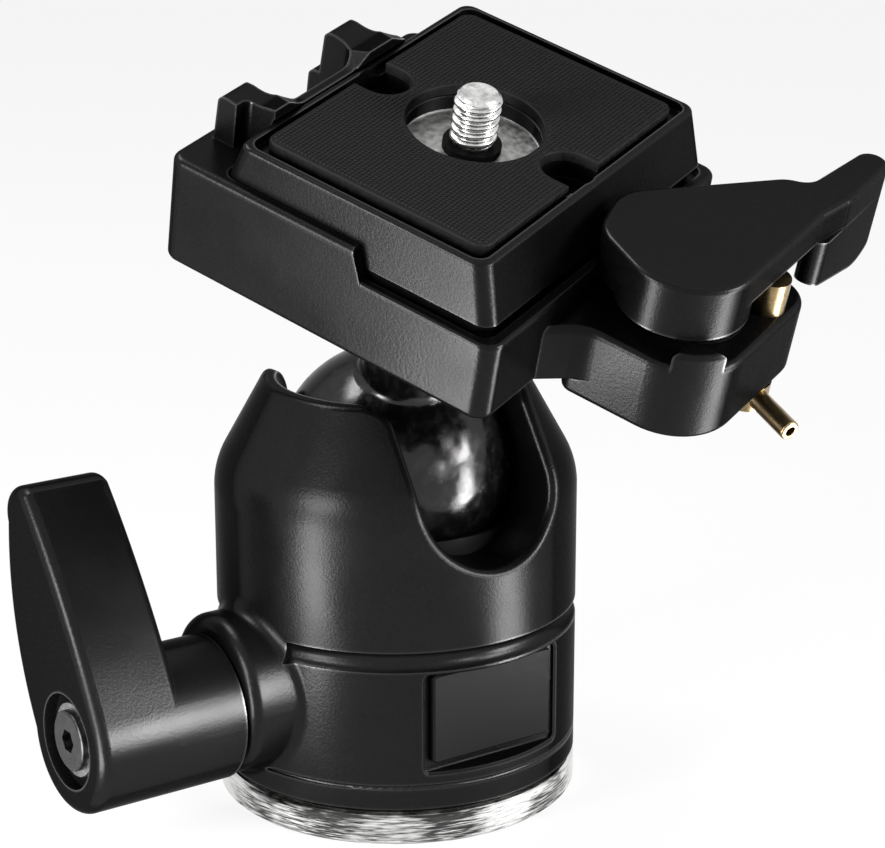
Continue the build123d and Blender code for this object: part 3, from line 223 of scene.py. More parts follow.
class PlateSettings(PropertyGroup):
    """Sizes of the round well in the camera plate."""

    well_depth: FloatProperty(
        name="Well Depth", description="Depth of the well's floor under the plate lip",
        subtype="DISTANCE", unit="LENGTH", default=0.0035, precision=5)
    well_radius: FloatProperty(
        name="Well Radius", description="Radius of the well", subtype="DISTANCE", unit="LENGTH",
        default=0.0105, precision=5)


class StageSettings(PropertyGroup):
    """Camera and lamps of the studio."""

    camera_place: FloatVectorProperty(
        name="Camera", description="Place of the camera", subtype="XYZ", unit="LENGTH",
        size=3, default=(-0.19776, -0.29435, 0.15654), precision=5)
    camera_aim: FloatVectorProperty(
        name="Aim", description="Direction in which the camera looks", subtype="DIRECTION",
        size=3, default=(0.55116, 0.78715, -0.27680))
    lens: FloatProperty(
        name="Lens", description="Focal length on a sensor 36 mm wide", subtype="DISTANCE_CAMERA",
        min=10.0, max=500.0, default=103.17)
    left_turn: FloatProperty(
        name="Left Turn", description="Angle of the left lamps from the camera's side", subtype="ANGLE",
        unit="ROTATION", default=radians(-46.0))
    right_turn: FloatProperty(
        name="Right Turn", description="Angle of the right lamps from the camera's side", subtype="ANGLE",
        unit="ROTATION", default=radians(67.0))
    strip_start: FloatProperty(
        name="Strip Start", description="Distance at which a low strip starts", subtype="DISTANCE",
        unit="LENGTH", default=0.085)
    strip_end: FloatProperty(
        name="Strip End", description="Distance at which a low strip ends", subtype="DISTANCE",
        unit="LENGTH", default=0.24)
    strip_rise: FloatProperty(
        name="Strip Rise", description="Height of a low strip at its far end", subtype="DISTANCE",
        unit="LENGTH", default=0.055)
    strip_width: FloatProperty(
        name="Strip Width", description="Width of a low strip", subtype="DISTANCE", unit="LENGTH",
        default=0.032)
    strip_power: FloatProperty(
        name="Strips", description="Power of each low strip", subtype="POWER", min=0.0, default=0.48)
    side_rise: FloatProperty(
        name="Side Rise", description="Angle of the standing lamps over the floor", subtype="ANGLE",
        unit="ROTATION", default=radians(14.0))
    side_reach: FloatProperty(
        name="Side Reach", description="Distance of the standing lamps", subtype="DISTANCE",
        unit="LENGTH", default=0.3)
    side_width: FloatProperty(
        name="Side Width", description="Width of the standing lamps", subtype="DISTANCE",
        unit="LENGTH", default=0.09)
    side_height: FloatProperty(
        name="Side Height", description="Height of the standing lamps", subtype="DISTANCE",
        unit="LENGTH", default=0.1)
    side_power: FloatProperty(
        name="Side Lamps", description="Power of each standing lamp", subtype="POWER",
        min=0.0, default=0.8)
    lamp_aim: FloatProperty(
        name="Lamp Aim", description="Height of the point that the large lamps face", subtype="DISTANCE",
        unit="LENGTH", default=0.055)
    top_turn: FloatProperty(
        name="Top Turn", description="Angle of the top lamp from the camera's side", subtype="ANGLE",
        unit="ROTATION", default=radians(-110.0))
    top_reach: FloatProperty(
        name="Top Reach", description="Level distance of the top lamp", subtype="DISTANCE",
        unit="LENGTH", default=0.3)
    top_rise: FloatProperty(
        name="Top Rise", description="Height of the top lamp over the lamps' aim", subtype="DISTANCE",
        unit="LENGTH", default=0.58)
    top_width: FloatProperty(
        name="Top Width", description="Width of the top lamp", subtype="DISTANCE", unit="LENGTH",
        default=0.3)
    top_height: FloatProperty(
        name="Top Height", description="Height of the top lamp's face", subtype="DISTANCE",
        unit="LENGTH", default=0.2)
    top_power: FloatProperty(
        name="Top Lamp", description="Power of the wide lamp overhead", subtype="POWER",
        min=0.0, default=2.5)
    hub_turn: FloatProperty(
        name="Hub Turn", description="Angle of the hub's lamp from the camera's side", subtype="ANGLE",
        unit="ROTATION", default=radians(61.0))
    hub_reach: FloatProperty(
        name="Hub Reach", description="Distance of the hub's lamp", subtype="DISTANCE", unit="LENGTH",
        default=0.09)
    hub_rise: FloatProperty(
        name="Hub Rise", description="Height of the hub's lamp over the hub", subtype="DISTANCE",
        unit="LENGTH", default=0.016)
    hub_width: FloatProperty(
        name="Hub Lamp Width", description="Width of the hub's lamp", subtype="DISTANCE", unit="LENGTH",
        default=0.04)
    hub_height: FloatProperty(
        name="Hub Lamp Height", description="Height of the hub's lamp's face", subtype="DISTANCE",
        unit="LENGTH", default=0.056)
    hub_beam: FloatProperty(
        name="Hub Beam", description="Angle of the beam of the hub's lamp", subtype="ANGLE",
        unit="ROTATION", default=radians(40.0))
    hub_power: FloatProperty(
        name="Hub Lamp", description="Power of the small lamp on the lever's hub", subtype="POWER",
        min=0.0, default=0.024)
    ambient: FloatProperty(
        name="Ambient", description="Strength of the soft light from all sides", min=0.0, max=1.0,
        default=0.3)
    floor_glow: FloatProperty(
        name="Floor White", description="Share of the floor that shows plain white", subtype="FACTOR",
        min=0.0, max=1.0, default=0.86)


class BallHeadSettings(PropertyGroup):
    """All settings of the ball head."""

    finish: PointerProperty(type=FinishSettings, name="Finish", description="Colours and surfaces")
    thread: PointerProperty(type=ThreadSettings, name="Thread", description="Camera screw")
    pad: PointerProperty(type=PadSettings, name="Pad", description="Grip pad")
    plate: PointerProperty(type=PlateSettings, name="Plate", description="Camera plate")
    stage: PointerProperty(type=StageSettings, name="Stage", description="Camera and lamps")


def new_object(name, data):
    """A new object of the scene that shows the given data."""
    item = bpy.data.objects.new(name, data)
    bpy.context.scene.collection.objects.link(item)
    return item


def mesh_from(shape, name):
    """Turns a bmesh into a mesh and frees it."""
    mesh = bpy.data.meshes.new(name)
    shape.to_mesh(mesh)
    shape.free()
    return mesh


def applied_mesh(item):
    """The mesh of an object with its modifiers or its curve bevel applied."""
    bpy.context.view_layer.update()
    graph = bpy.context.evaluated_depsgraph_get()
    return bpy.data.meshes.new_from_object(item.evaluated_get(graph))


def new_material(name):
    """A fresh node material, its tree and its main shader."""
    material = bpy.data.materials.new(name)
    material.use_nodes = True
    return material, material.node_tree, material.node_tree.nodes["Principled BSDF"]


def operate(tree, kind, operation, *values):
    """Outputs of a maths node whose inputs are linked sockets or plain values."""
    node = tree.nodes.new(kind)
    node.operation = operation
    for socket, value in zip(node.inputs, values):
        if isinstance(value, bpy.types.NodeSocket):
            tree.links.new(value, socket)
        else:
            socket.default_value = value
    return node.outputs


def calculate(tree, operation, *values):
    """A number worked out from others."""
    return operate(tree, "ShaderNodeMath", operation, *values)["Value"]


def measure(tree, operation, *values):
    """A number worked out from vectors."""
    return operate(tree, "ShaderNodeVectorMath", operation, *values)["Value"]


def point_from(tree, centre):
    """The shaded point, in metres from a centre on the piece."""
    return operate(tree, "ShaderNodeVectorMath", "SUBTRACT", object_point(tree), centre)["Vector"]


def object_point(tree):
    """Coordinates of the shaded point, in metres, fixed to the piece."""
    return tree.nodes.new("ShaderNodeTexCoord").outputs["Object"]


def noise(tree, size, detail, stretch=(1.0, 1.0, 1.0)):
    """Noise with features of the given size in metres, longer along an axis with a small stretch."""
    mapping = tree.nodes.new("ShaderNodeMapping")
    mapping.inputs["Scale"].default_value = stretch
    tree.links.new(object_point(tree), mapping.inputs["Vector"])
    texture = tree.nodes.new("ShaderNodeTexNoise")
    texture.inputs["Scale"].default_value = 1.0 / size
    texture.inputs["Detail"].default_value = detail
    tree.links.new(mapping.outputs["Vector"], texture.inputs["Vector"])
    return texture.outputs["Fac"]


def spread(tree, value, low, high, start=0.3, end=0.7):
    """Maps a noise value to the range from low to high."""
    node = tree.nodes.new("ShaderNodeMapRange")
    node.inputs["From Min"].default_value = start
    node.inputs["From Max"].default_value = end
    node.inputs["To Min"].default_value = low
    node.inputs["To Max"].default_value = high
    tree.links.new(value, node.inputs["Value"])
    return node.outputs["Result"]


def shades(tree, value, color, dark, light, start=0.3, end=0.7):
    """Colour that runs from dark times to light times the given colour."""
    ramp = tree.nodes.new("ShaderNodeValToRGB")
    for stop, place, factor in zip(ramp.color_ramp.elements, (start, end), (dark, light)):
        stop.position = place
        stop.color = (*(min(1.0, part * factor) for part in color[:3]), 1.0)
    tree.links.new(value, ramp.inputs["Fac"])
    return ramp.outputs["Color"]


def relief(tree, height, depth, under=None):
    """Bump of the given depth in metres, laid over another bump."""
    bump = tree.nodes.new("ShaderNodeBump")
    bump.inputs["Strength"].default_value = 1.0
    bump.inputs["Distance"].default_value = depth
    tree.links.new(height, bump.inputs["Height"])
    if under:
        tree.links.new(under, bump.inputs["Normal"])
    return bump.outputs["Normal"]


def facing_gloss(tree, middle, edge):
    """Gloss that fades from surfaces seen square on to surfaces seen along their face."""
    weight = tree.nodes.new("ShaderNodeLayerWeight")
    weight.inputs["Blend"].default_value = 0.5
    return spread(tree, weight.outputs["Facing"], middle, edge, FACING_START, FACING_END)


def edge_share(tree, width):
    """One on edges and narrow roundings, zero on flat and wide surfaces."""
    bevel = tree.nodes.new("ShaderNodeBevel")
    bevel.samples = 6
    bevel.inputs["Radius"].default_value = width
    plain = tree.nodes.new("ShaderNodeNewGeometry").outputs["Normal"]
    straight = measure(tree, "DOT_PRODUCT", bevel.outputs["Normal"], plain)
    return spread(tree, straight, 1.0, 0.0, EDGE_FULL, EDGE_NONE)


def blend(tree, first, second, share):
    """Weighted sum of two values, the second with the given share."""
    rest = calculate(tree, "MULTIPLY", first, 1.0 - share)
    return calculate(tree, "MULTIPLY_ADD", second, share, rest)


def paint(tree, shader, color, rough, normal, gloss=None):
    """Links what varies over a surface to its shader."""
    tree.links.new(color, shader.inputs["Base Color"])
    tree.links.new(rough, shader.inputs["Roughness"])
    tree.links.new(normal, shader.inputs["Normal"])
    if gloss:
        tree.links.new(gloss, shader.inputs["Specular IOR Level"])


def mottled(name, color, size, detail, tones, rough, depth, gloss=None):
    """A plain finish whose tone, roughness and relief follow one fine noise."""
    material, tree, shader = new_material(name)
    mottle = noise(tree, size, detail)
    color = shades(tree, mottle, color, *tones)
    rough = spread(tree, mottle, *rough)
    gloss = facing_gloss(tree, *gloss) if gloss else None
    paint(tree, shader, color, rough, relief(tree, mottle, depth), gloss)
    return material


def mix_shaders(tree, share, first, second):
    """Shows the second shader by the given share over the first."""
    mix = tree.nodes.new("ShaderNodeMixShader")
    tree.links.new(share, mix.inputs["Fac"])
    tree.links.new(first, mix.inputs[1])
    tree.links.new(second, mix.inputs[2])
    tree.links.new(mix.outputs["Shader"], tree.nodes["Material Output"].inputs["Surface"])


def coated_casting(finish, name="coated_casting"):
    """Satin black powder coat with a fine orange-peel grain."""
    material, tree, shader = new_material(name)
    grain = noise(tree, finish.coat_grain, detail=2.0)
    cloud = noise(tree, finish.coat_grain * 30.0, detail=3.0)
    speck = noise(tree, finish.coat_grain * 0.4, detail=1.0)
    color = shades(tree, grain, finish.coat_color, dark=0.75, light=1.35)
    rough = spread(tree, cloud, finish.coat_roughness - 0.05, finish.coat_roughness + 0.06)
    peel = relief(tree, grain, depth=0.000022)
    normal = relief(tree, speck, depth=0.000008, under=peel)
    flat = facing_gloss(tree, middle=0.25, edge=0.004)
    gloss = blend(tree, flat, edge_share(tree, finish.edge_width), share=0.5)
    paint(tree, shader, color, rough, normal, gloss)
    return material


def well_mask(tree, plate):
    """One on the floor of the round well in the camera plate, zero on all else."""
    offset = point_from(tree, PLATE_CENTRE)
    height = measure(tree, "DOT_PRODUCT", offset, PLATE_UP)
    level = calculate(tree, "COMPARE", height, -plate.well_depth, WELL_SLACK)
    inside = calculate(tree, "LESS_THAN", measure(tree, "LENGTH", offset), plate.well_radius)
    return calculate(tree, "MULTIPLY", level, inside)


def coated_plate(settings):
    """The castings' coat with bare, mottled metal on the floor of the well."""
    material = coated_casting(settings.finish, "coated_plate")
    tree = material.node_tree
    coat = tree.nodes["Principled BSDF"]
    bare = tree.nodes.new("ShaderNodeBsdfPrincipled")
    mottle = noise(tree, size=0.0009, detail=5.0)
    color = shades(tree, mottle, settings.finish.bright_color, dark=0.35, light=0.75)
    rough = spread(tree, mottle, low=0.4, high=0.55)
    paint(tree, bare, color, rough, relief(tree, mottle, depth=0.00001))
    bare.inputs["Metallic"].default_value = 1.0
    mask = well_mask(tree, settings.plate)
    mix_shaders(tree, mask, coat.outputs["BSDF"], bare.outputs["BSDF"])
    return material


def polished_ball(finish):
    """Glossy black with faint polishing marks and a little dust."""
    material, tree, shader = new_material("polished_ball")
    marks = noise(tree, size=0.0008, detail=4.0, stretch=(0.25, 1.0, 1.6))
    dust = noise(tree, size=0.0016, detail=5.0)
    color = shades(tree, dust, finish.ball_color, dark=0.8, light=3.0, start=0.45, end=0.8)
    smooth, dull = finish.ball_roughness - 0.06, finish.ball_roughness + 0.12
    rough = spread(tree, dust, smooth, dull, start=0.4, end=0.75)
    gloss = facing_gloss(tree, middle=0.4, edge=0.03)
    paint(tree, shader, color, rough, relief(tree, marks, depth=0.000006), gloss)
    return material


def ring_height(tree, centre, axis, pitch):
    """Fine rings round an axis, as a turning tool leaves them."""
    wave = tree.nodes.new("ShaderNodeTexWave")
    wave.wave_type = "RINGS"
    wave.rings_direction = axis
    wave.inputs["Scale"].default_value = 2.0 * pi / (20.0 * pitch)
    wave.inputs["Distortion"].default_value = 1.2
    wave.inputs["Detail"].default_value = 2.0
    wave.inputs["Detail Scale"].default_value = 1.5
    tree.links.new(point_from(tree, centre), wave.inputs["Vector"])
    return wave.outputs["Fac"]


def turned_disc(finish):
    """Bright turned aluminium: rings on the faces, and round the edge fine streaks mixed with dark and
    light patches of painted reflection.
    """
    material, tree, shader = new_material("turned_disc")
    rings = ring_height(tree, (0.0, 0.0, 0.0), "Z", pitch=0.0005)
    streak = noise(tree, size=0.003, detail=5.0, stretch=(1.0, 1.0, 14.0))
    # Real turning streaks mixed with large patches that paint a reflection of dark and bright
    # surroundings into the colour.
    streak_and_painted_reflection = blend(tree, streak, noise(tree, size=0.015, detail=2.0), share=0.6)
    color = shades(tree, streak_and_painted_reflection, finish.bright_color, dark=0.08, light=0.95, start=0.42, end=0.53)
    rough = spread(tree, streak, low=0.22, high=0.45)
    coarse = relief(tree, streak, depth=0.00005)
    paint(tree, shader, color, rough, relief(tree, rings, depth=0.00001, under=coarse))
    shader.inputs["Metallic"].default_value = 1.0
    return material


def bright_steel(finish, name, centre, axis, pitch, roughness, shine=1.0):
    """Plated steel with turning marks round its own axis."""
    material, tree, shader = new_material(name)
    rings = ring_height(tree, centre, axis, pitch)
    stain = noise(tree, size=0.0011, detail=4.0)
    color = shades(tree, stain, finish.bright_color, dark=0.55 * shine, light=1.15 * shine)
    rough = spread(tree, stain, roughness - 0.06, roughness + 0.1)
    paint(tree, shader, color, rough, relief(tree, rings, depth=0.000014))
    shader.inputs["Metallic"].default_value = 1.0
    return material


def turned_brass(finish):
    """Brass with fine marks and darker tarnish in patches."""
    material, tree, shader = new_material("turned_brass")
    tarnish = noise(tree, size=0.002, detail=4.0)
    marks = noise(tree, size=0.0003, detail=2.0, stretch=(1.0, 1.0, 4.0))
    color = shades(tree, tarnish, finish.brass_color, dark=0.35, light=1.1)
    rough = spread(tree, tarnish, low=0.36, high=0.2)
    paint(tree, shader, color, rough, relief(tree, marks, depth=0.000008))
    shader.inputs["Metallic"].default_value = 1.0
    return material


def moulded_nylon(finish):
    """Pale nylon with a soft mould grain."""
    return mottled("moulded_nylon", finish.nylon_color, size=0.0009, detail=3.0, tones=(0.9, 1.06),
                   rough=(0.42, 0.58), depth=0.00001)


def grip_rubber(finish):
    """Dull black rubber with grey dust caught in it."""
    return mottled("grip_rubber", finish.rubber_color, size=0.0007, detail=3.0, tones=(0.7, 1.7),
                   rough=(0.55, 0.75), depth=0.00002, gloss=(0.15, 0.01))


def badge_blank(finish):
    """Plain dark plate with a smooth, slightly mottled face."""
    return mottled("badge_blank", finish.badge_color, size=0.0006, detail=4.0, tones=(0.85, 1.2),
                   rough=(0.4, 0.52), depth=0.000006, gloss=(0.08, 0.002))


def black_ring(finish):
    """Black plastic or blackened steel with worn, slightly lighter patches."""
    return mottled("black_ring", finish.coat_color, size=0.0009, detail=4.0, tones=(0.9, 2.4),
                   rough=(0.5, 0.34), depth=0.00001, gloss=(0.12, 0.004))


def dress(node_names, material):
    """Gives one material to CAD nodes."""
    for name in node_names:
        mesh = frame["nodes"][name].data
        mesh.materials.clear()
        mesh.materials.append(material)


def add_piece(name, mesh, matrix, material, body, slot, *nodes):
    """Links a mesh at a place, lets it ride on a body and stand for CAD nodes."""
    if not mesh.polygons:
        raise RuntimeError(f"{name}: the mesh has no faces")
    mesh.materials.clear()
    mesh.materials.append(material)
    piece = new_object(name, mesh)
    piece.matrix_world = matrix
    bpy.context.view_layer.update()
    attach(piece, body)
    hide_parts(*nodes)


class BALLHEAD_OT_castings(Operator):
    """Coat the body, the levers, the clamp and the plate"""

    bl_idname = "ballhead.castings"
    bl_label = "Coat Castings"

    def execute(self, context):
        settings = context.scene.ball_head
        dress(("housing", "lock_lever", "clamp_frame", "release_lever"), coated_casting(settings.finish))
        dress(("camera_plate",), coated_plate(settings))
        return {"FINISHED"}


class BALLHEAD_OT_ball(Operator):
    """Polish the ball"""

    bl_idname = "ballhead.ball"
    bl_label = "Polish Ball"

    def execute(self, context):
        dress(("ball",), polished_ball(context.scene.ball_head.finish))
        return {"FINISHED"}


class BALLHEAD_OT_disc(Operator):
    """Turn the base disc bright"""

    bl_idname = "ballhead.disc"
    bl_label = "Turn Base Disc"

    def execute(self, context):
        dress(("base_disc",), turned_disc(context.scene.ball_head.finish))
        return {"FINISHED"}


class BALLHEAD_OT_lever_end(Operator):
    """Finish the washer and the socket screw in the lock lever's end"""

    bl_idname = "ballhead.lever_end"
    bl_label = "Finish Lever End"

    def execute(self, context):
        finish = context.scene.ball_head.finish
        washer = bright_steel(finish, "lever_washer_steel", LEVER_AXIS_POINT, "X",
                              pitch=0.0003, roughness=0.25, shine=0.4)
        head = bright_steel(finish, "lever_screw_steel", LEVER_AXIS_POINT, "X",
                            pitch=0.0005, roughness=0.35, shine=0.07)
        dress(("lever_washer",), washer)
        dress(("lever_screw",), head)
        return {"FINISHED"}


class BALLHEAD_OT_badge(Operator):
    """Finish the plain badge plate"""

    bl_idname = "ballhead.badge"
    bl_label = "Finish Badge Plate"

    def execute(self, context):
        dress(("badge_plate",), badge_blank(context.scene.ball_head.finish))
        return {"FINISHED"}


class BALLHEAD_OT_catch(Operator):
    """Finish the brass safety catch and the brass pieces of the lock"""

    bl_idname = "ballhead.catch"
    bl_label = "Finish Brass"

    def execute(self, context):
        brass = turned_brass(context.scene.ball_head.finish)
        dress(("safety_catch", "catch_collar", "catch_pin"), brass)
        dress(("clamp_bush", "wedge_nut", "brake_shoe"), brass)
        return {"FINISHED"}


class BALLHEAD_OT_inner(Operator):
    """Finish the washers, rings, bolts and the cup inside the head"""

    bl_idname = "ballhead.inner"
    bl_label = "Finish Inner Pieces"

    def execute(self, context):
        finish = context.scene.ball_head.finish
        dress(("pan_washer", "pivot_bush"), moulded_nylon(finish))
        dress(("screw_retainer", "ball_cup", "ball_liner"), black_ring(finish))
        steels = (
            ("upright_steel", (0.0, 0.0, 0.0), "Z", ("base_circlip", "bearing_plate")),
            ("cross_steel", LEVER_AXIS_POINT, "X", ("clamp_stud", "stud_clip")),
            ("clamp_steel", PLATE_CENTRE, "SPHERICAL", ("stem_bolt", "pivot_bolt", "release_spring")),
        )
        for name, centre, axis, nodes in steels:
            dress(nodes, bright_steel(finish, name, centre, axis, pitch=0.0004, roughness=0.3))
        return {"FINISHED"}


def thread_radius(thread, height, turn):
    """Radius of the rounded thread at a height and a share of a turn, rising from the shank."""
    phase = ((height - thread.low) / thread.pitch - turn) % 1.0
    crest = 0.5 + 0.5 * cos(2.0 * pi * phase)
    crest = crest * crest * (3.0 - 2.0 * crest)
    run_in = min(1.0, max(0.0, (height - thread.low) / (0.5 * thread.pitch)))
    return thread.root_radius + (thread.radius - thread.root_radius) * crest * run_in


def screw_rows(thread):
    """Heights and radii from the slotted face to the middle of the tip, with no radius on the thread."""
    rows = [
        (thread.head_low, thread.head_radius - HEAD_EDGE),
        (thread.head_low + HEAD_EDGE, thread.head_radius),
        (thread.head_top - HEAD_EDGE, thread.head_radius),
        (thread.head_top, thread.head_radius - HEAD_EDGE),
        (thread.head_top, thread.root_radius),
    ]
    run = thread.top - thread.bevel - thread.low
    count = ceil(run / thread.pitch * ROWS_PER_TURN)
    rows += [(thread.low + run / count * row, None) for row in range(count + 1)]
    for share in (0.35, 0.7, 0.92, 1.0):
        height = thread.top - thread.bevel * (1.0 - share)
        rows.append((height, thread.radius - thread.bevel * (0.1 + 0.9 * share)))
    for share in (0.75, 0.5, 0.25):
        rows.append((thread.top, (thread.radius - thread.bevel) * share))
    return rows


def screw_mesh(thread):
    """Screw turned as one closed skin, with a real helix between shank and tip."""
    shape = bmesh.new()
    loops = []
    for height, radius in screw_rows(thread):
        loop = []
        for step in range(thread.segments):
            turn = step / thread.segments
            reach = radius or thread_radius(thread, height, turn)
            place = (reach * cos(2.0 * pi * turn), reach * sin(2.0 * pi * turn), height)
            loop.append(shape.verts.new(place))
        loops.append(loop)
    for lower, upper in zip(loops, loops[1:]):
        for step in range(thread.segments):
            after = (step + 1) % thread.segments
            shape.faces.new((lower[step], lower[after], upper[after], upper[step]))
    shape.faces.new(reversed(loops[0]))
    shape.faces.new(loops[-1])
    return mesh_from(shape, "camera_thread")


def cut_slot(mesh, thread):
    """Cuts the coin slot across the head and returns the finished mesh."""
    box = bmesh.new()
    size = (thread.head_radius * 3.0, thread.slot_width, thread.slot_depth * 2.0)
    bmesh.ops.create_cube(box, size=1.0)
    bmesh.ops.scale(box, vec=size, verts=box.verts)
    bmesh.ops.translate(box, vec=(0.0, 0.0, thread.head_low), verts=box.verts)
    cutter = new_object("slot_cutter", mesh_from(box, "slot_cutter"))
    blank = new_object("slot_blank", mesh)
    slot = blank.modifiers.new("Coin Slot", "BOOLEAN")
    slot.operation = "DIFFERENCE"
    slot.object = cutter
    result = applied_mesh(blank)
    for item in (cutter, blank):
        bpy.data.objects.remove(item)
    return result


class BALLHEAD_OT_camera_screw(Operator):
    """Build the camera screw with its real thread"""

    bl_idname = "ballhead.camera_screw"
    bl_label = "Build Camera Screw"

    def execute(self, context):
        settings = context.scene.ball_head
        steel = bright_steel(settings.finish, "camera_screw_steel", (0.0, 0.0, 0.0), "Z",
                             pitch=0.00045, roughness=0.24)
        mesh = cut_slot(screw_mesh(settings.thread), settings.thread)
        mesh.shade_smooth()
        mesh.set_sharp_from_angle(angle=radians(40.0))
        add_piece("camera_thread", mesh, plate_matrix(), steel, "screw", "steel", "camera_screw")
        return {"FINISHED"}


def arc(centre, radius, start, end, steps):
    """Points on an arc between two angles in degrees."""
    angles = (radians(start + (end - start) * step / steps) for step in range(steps + 1))
    return [(centre[0] + radius * cos(angle), centre[1] + radius * sin(angle)) for angle in angles]


def pad_outline(pad, inset):
    """Outer line of the pad with its two edge notches, drawn inwards by the inset."""
    half_w = pad.width / 2.0 - inset
    half_l = pad.length / 2.0 - inset
    bend = pad.corner
    notch = pad.notch_radius + inset
    notch_x = pad.width / 2.0 - pad.notch_inset
    line = arc((half_w - bend, half_l - bend), bend, 0.0, 90.0, CORNER_STEPS)
    line += arc((bend - half_w, half_l - bend), bend, 90.0, 180.0, CORNER_STEPS)
    line.append((-half_w, notch))
    line += arc((-notch_x, 0.0), notch, 90.0, -90.0, NOTCH_STEPS)
    line.append((-half_w, -notch))
    line += arc((bend - half_w, bend - half_l), bend, 180.0, 270.0, CORNER_STEPS)
    line += arc((half_w - bend, bend - half_l), bend, 270.0, 360.0, CORNER_STEPS)
    line.append((half_w, -notch))
    line += arc((notch_x, 0.0), notch, 270.0, 90.0, NOTCH_STEPS)
    line.append((half_w, notch))
    return line


def pad_sheet(pad):
    """The pad's sheet with rounded edges, its window and its notches, as a mesh."""
    curve = bpy.data.curves.new("pad_sheet", "CURVE")
    curve.dimensions = "2D"
    curve.fill_mode = "BOTH"
    thickness = pad.top - pad.nub_height - pad.low
    curve.extrude = thickness / 2.0 - pad.edge
    curve.bevel_depth = pad.edge
    curve.bevel_resolution = 3
    last = 360.0 - 360.0 / WINDOW_STEPS
    window = arc((0.0, 0.0), pad.window_radius + pad.edge, 0.0, last, WINDOW_STEPS - 1)
    for line in (pad_outline(pad, pad.edge), window):
        spline = curve.splines.new("POLY")
        spline.points.add(len(line) - 1)
        for point, place in zip(spline.points, line):
            point.co = (*place, 0.0, 1.0)
        spline.use_cyclic_u = True
    holder = new_object("pad_sheet", curve)
    mesh = applied_mesh(holder)
    bpy.data.objects.remove(holder)
    mesh.transform(Matrix.Translation((0.0, 0.0, pad.low + thickness / 2.0)))
    return mesh


def on_pad(pad, x, y, margin):
    """True where a nub stands clear of the pad's edges, window and notches."""
    if abs(x) > pad.width / 2.0 - margin or abs(y) > pad.length / 2.0 - margin:
        return False
    corner_x = abs(x) - (pad.width / 2.0 - pad.corner)
    corner_y = abs(y) - (pad.length / 2.0 - pad.corner)
    if corner_x > 0.0 and corner_y > 0.0 and hypot(corner_x, corner_y) > pad.corner - margin:
        return False
    if hypot(x, y) < pad.window_radius + margin:
        return False
    notch_x = max(0.0, pad.width / 2.0 - pad.notch_inset - abs(x))
    return hypot(notch_x, y) > pad.notch_radius + margin


def add_nubs(mesh, pad):
    """Stands a truncated pyramid on each point of the pad's grid."""
    shape = bmesh.new()
    shape.from_mesh(mesh)
    across = int(pad.width / 2.0 / pad.nub_pitch)
    along = int(pad.length / 2.0 / pad.nub_pitch)
    foot = pad.nub_foot / 2.0
    tip = pad.nub_tip / 2.0
    low = pad.top - pad.nub_height * (1.0 + NUB_SUNK)
    corners = ((1, 1), (-1, 1), (-1, -1), (1, -1))
    for column in range(-across, across + 1):
        for row in range(-along, along + 1):
            x = column * pad.nub_pitch
            y = row * pad.nub_pitch
            if not on_pad(pad, x, y, pad.nub_pitch):
                continue
            lower = [shape.verts.new((x + i * foot, y + j * foot, low)) for i, j in corners]
            upper = [shape.verts.new((x + i * tip, y + j * tip, pad.top)) for i, j in corners]
            shape.faces.new(upper)
            for side in range(4):
                after = (side + 1) % 4
                shape.faces.new((lower[side], lower[after], upper[after], upper[side]))
    shape.to_mesh(mesh)
    shape.free()


class BALLHEAD_OT_pad(Operator):
    """Build the rubber grip pad with its nubs"""

    bl_idname = "ballhead.pad"
    bl_label = "Build Grip Pad"

    def execute(self, context):
        settings = context.scene.ball_head
        mesh = pad_sheet(settings.pad)
        mesh.shade_smooth()
        add_nubs(mesh, settings.pad)
        mesh.set_sharp_from_angle(angle=radians(35.0))
        rubber = grip_rubber(settings.finish)
        add_piece("grip_pad", mesh, plate_matrix(), rubber, "clamp", "rubber", "rubber_pad")
        return {"FINISHED"}


def seen_share(tree):
    """One for what the camera, reflections and glass see, zero for the light on the scene."""
    path = tree.nodes.new("ShaderNodeLightPath").outputs
    direct = calculate(tree, "MAXIMUM", path["Is Camera Ray"], path["Is Glossy Ray"])
    return calculate(tree, "MAXIMUM", direct, path["Is Transmission Ray"])


def studio_world(stage):
    """White to the camera and in reflections, a soft grey light to everything else."""
    world = bpy.data.worlds.new("studio_world")
    bpy.context.scene.world = world
    world.use_nodes = True
    tree = world.node_tree
    background = tree.nodes["Background"]
    background.inputs["Color"].default_value = (1.0, 1.0, 1.0, 1.0)
    strength = spread(tree, seen_share(tree), stage.ambient, 1.0, start=0.0, end=1.0)
    tree.links.new(strength, background.inputs["Strength"])


def studio_floor(stage):
    """Pale floor that shows mostly white and keeps a light shadow."""
    shape = bmesh.new()
    bmesh.ops.create_grid(shape, x_segments=1, y_segments=1, size=3.0)
    floor = new_object("studio_floor", mesh_from(shape, "studio_floor"))
    material, tree, shader = new_material("pale_floor")
    tooth = noise(tree, size=0.004, detail=2.0)
    color = shades(tree, tooth, (0.86, 0.86, 0.86), dark=0.99, light=1.01)
    tree.links.new(color, shader.inputs["Base Color"])
    shader.inputs["Roughness"].default_value = 0.9
    glow = tree.nodes.new("ShaderNodeEmission")
    share = spread(tree, seen_share(tree), 0.0, stage.floor_glow, start=0.0, end=1.0)
    mix_shaders(tree, share, shader.outputs["BSDF"], glow.outputs["Emission"])
    floor.data.materials.append(material)


def soft_lamp(name, place, target, size, power, beam=pi):
    """A rectangular soft lamp that faces a point."""
    lamp = bpy.data.lights.new(name, "AREA")
    lamp.shape = "RECTANGLE"
    lamp.size, lamp.size_y = size
    lamp.energy = power
    lamp.spread = beam
    holder = new_object(name, lamp)
    holder.visible_camera = False
    holder.location = place
    holder.rotation_euler = (target - place).to_track_quat("-Z", "Y").to_euler()


